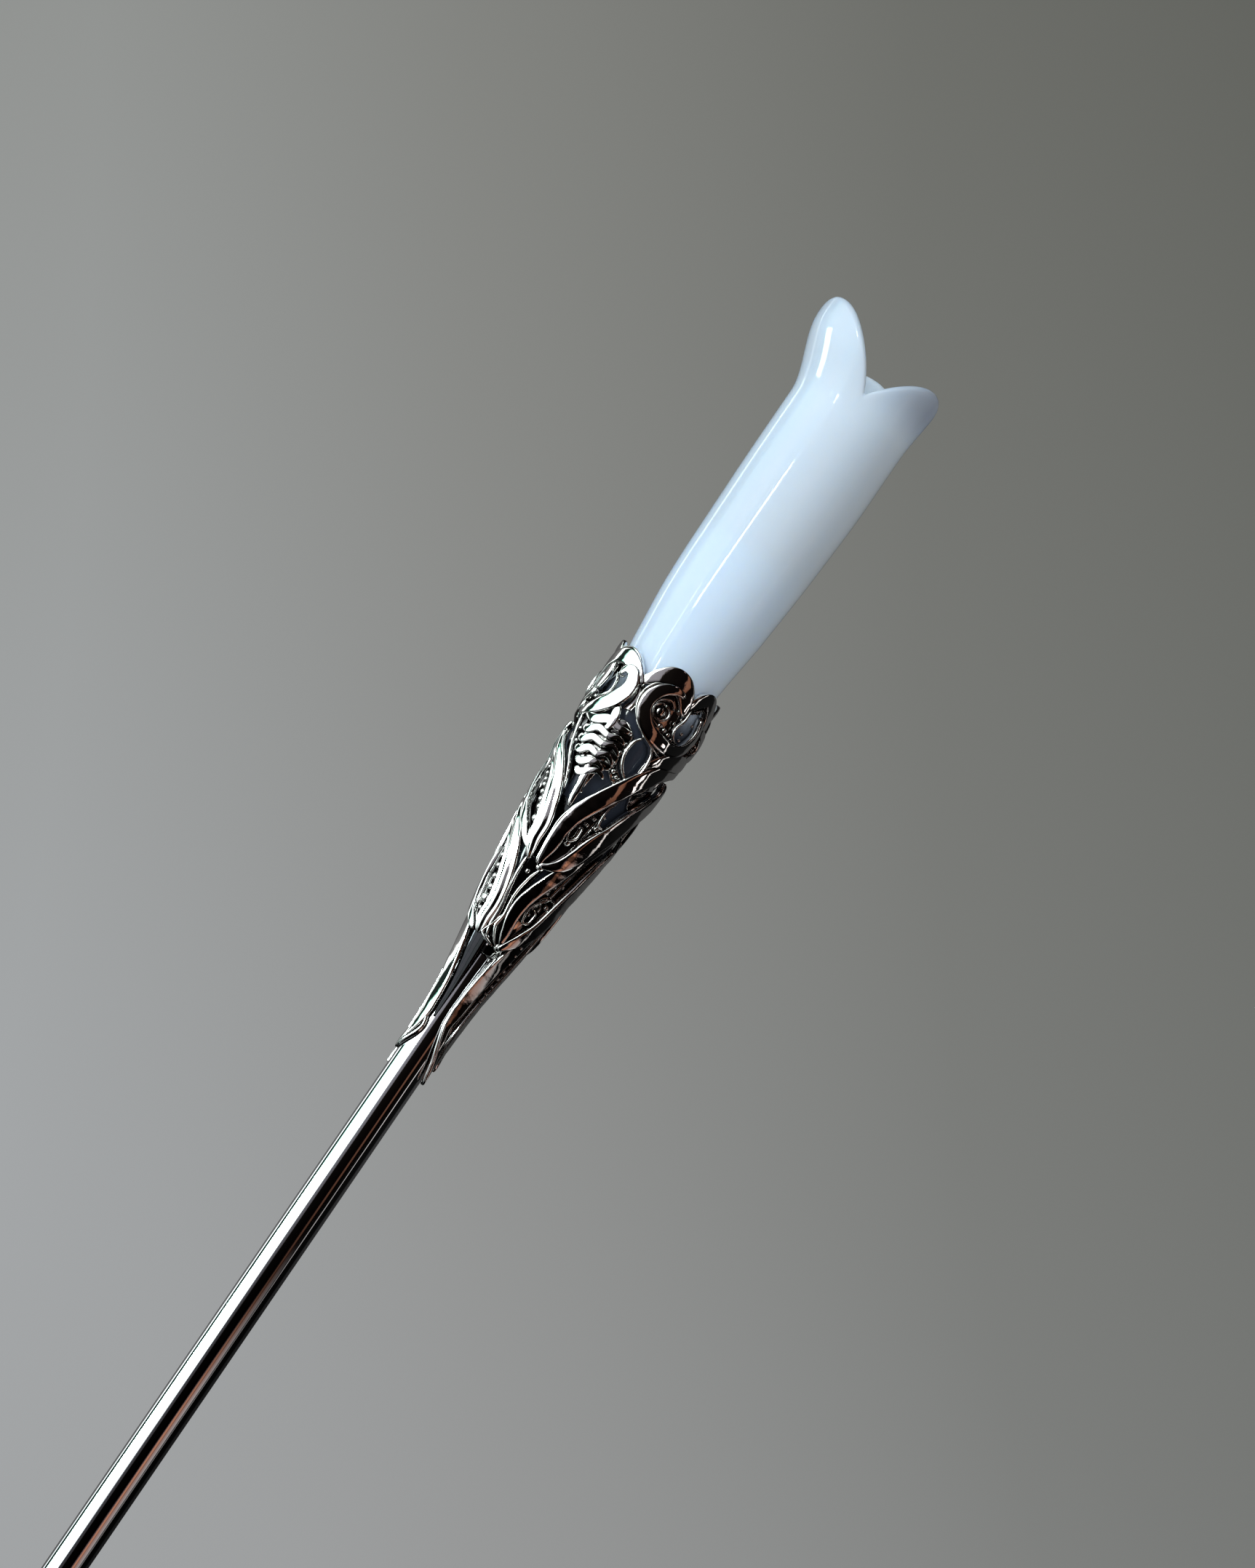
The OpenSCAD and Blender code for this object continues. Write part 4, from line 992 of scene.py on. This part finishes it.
def stage_dome():
    """A sphere that only reflections see, painted like a dim room with a tall window."""
    profile = [(math.sin(math.radians(a)), math.cos(math.radians(a))) for a in range(1, 180, 3)]
    verts, faces = lathe([(0.9 / MM * r, 0.9 / MM * z) for r, z in profile], 96)
    dome = to_object("stage_dome", verts, faces)
    dome.location = CENTRE
    n = Nodes("stage_room")
    d = n.add("ShaderNodeVectorMath", {0: n.add("ShaderNodeTexCoord").outputs["Object"]},
              operation="NORMALIZE").outputs[0]
    part = n.add("ShaderNodeSeparateXYZ", {0: d}).outputs
    azimuth = n.math("MULTIPLY", n.math("ARCTAN2", part[0], n.math("MULTIPLY", part[1], -1.0)),
                     180 / math.pi)
    height = n.math("MULTIPLY", n.math("ARCSINE", part[2]), 180 / math.pi)
    wobble = n.math("MULTIPLY", n.math("SUBTRACT", n.noise(d, 3.0, 2), 0.5), 6.0)
    turned = n.remap(n.math("ADD", azimuth, wobble), -180, 180, 0, 1)
    colours = n.ramp(turned, [((a + 180) / 360, (*[min(c, 1) for c in rgb], 1))
                              for a, rgb, v in ROOM])
    power = n.ramp(turned, [((a + 180) / 360, grey(v / BRIGHTEST)) for a, rgb, v in ROOM])
    low = n.ramp(n.remap(height, -90, 90, 0, 1), [
        (0.0, grey(0.05)), (0.30, grey(0.12)), (0.40, grey(0.75)), (0.44, grey(1)),
        (0.66, grey(1)), (0.70, grey(0.55)), (0.78, grey(0.12)), (1.0, grey(0.05))])
    away = n.remap(azimuth, -36, -31, 0, 1)
    shade = n.remap(height, -9, 1, 0.18, 1.0)
    shade = n.math("ADD", n.math("MULTIPLY", away, shade), n.math("SUBTRACT", 1.0, away))
    light = n.math("MULTIPLY", n.math("MULTIPLY", power, low), BRIGHTEST * WINDOW_GAIN)
    light = n.math("MULTIPLY", light, shade)

    def patch(az0, az1, el0, el1, radiance, soft=0.8):
        """A lamp-like rectangle on the dome."""
        edges = [n.remap(azimuth, az0 - soft, az0 + soft, 0, 1),
                 n.remap(azimuth, az1 + soft, az1 - soft, 0, 1),
                 n.remap(height, el0 - soft, el0 + soft, 0, 1),
                 n.remap(height, el1 + soft, el1 - soft, 0, 1)]
        value = edges[0]
        for e in edges[1:]:
            value = n.math("MULTIPLY", value, e)
        return n.math("MULTIPLY", value, radiance)
    for lamp in ((-40.2, -37.4, 0, 13, 45, 0.4), (-52.4, -51, -2, 5, 22, 0.4),
                 (-97, -88, -19, -6, 45, 0.8), (-127, -124, 4, 18, 5, 0.8), (62, 66, 3, 9, 5),
                 (-78, -66, 24, 30, 8), (20, 26, 38, 50, 2.5), (-20, -14, -38, -28, 1.6),
                 (70, 84, -30, -20, 1.2), (46, 68, -32, -9, 0.7, 2),
                 (30, 45, -32, -10, 0.4, 2)):
        light = n.math("ADD", light, patch(*lamp))
    glow = n.add("ShaderNodeEmission", {"Color": colours, "Strength": light})
    dome.data.materials.append(n.finish(glow.outputs[0]))
    hide_from(dome, "camera", "diffuse", "transmission", "volume_scatter", "shadow")


def lamp(name, azimuth, elevation, distance, size, power, colour):
    data = bpy.data.lights.new(name, "AREA")
    data.shape = "DISK"
    data.size = size
    data.energy = power
    data.color = colour
    obj = bpy.data.objects.new(name, data)
    bpy.context.scene.collection.objects.link(obj)
    a, e = math.radians(azimuth), math.radians(elevation)
    obj.location = CENTRE + distance * Vector((math.sin(a) * math.cos(e),
                                               -math.cos(a) * math.cos(e), math.sin(e)))
    obj.rotation_euler = (CENTRE - obj.location).to_track_quat("-Z", "Y").to_euler()
    obj.visible_glossy = False
    obj.visible_camera = False
    return obj


stage_bowl()
stage_dome()
lamp("window_light", -50, 22, 0.75, 0.5, 4.4, (0.66, 0.84, 1.0))
lamp("front_fill", 12, 5, 0.8, 0.6, 2.0, (0.82, 0.88, 1.0))
lamp("back_fill", 150, 40, 0.85, 0.6, 1.5, (1.0, 0.97, 0.93))

world = bpy.data.worlds.new("room_air")
world.use_nodes = True
world.node_tree.nodes["Background"].inputs[0].default_value = grey(0.05)
bpy.context.scene.world = world
bpy.context.scene.view_settings.view_transform = "Standard"
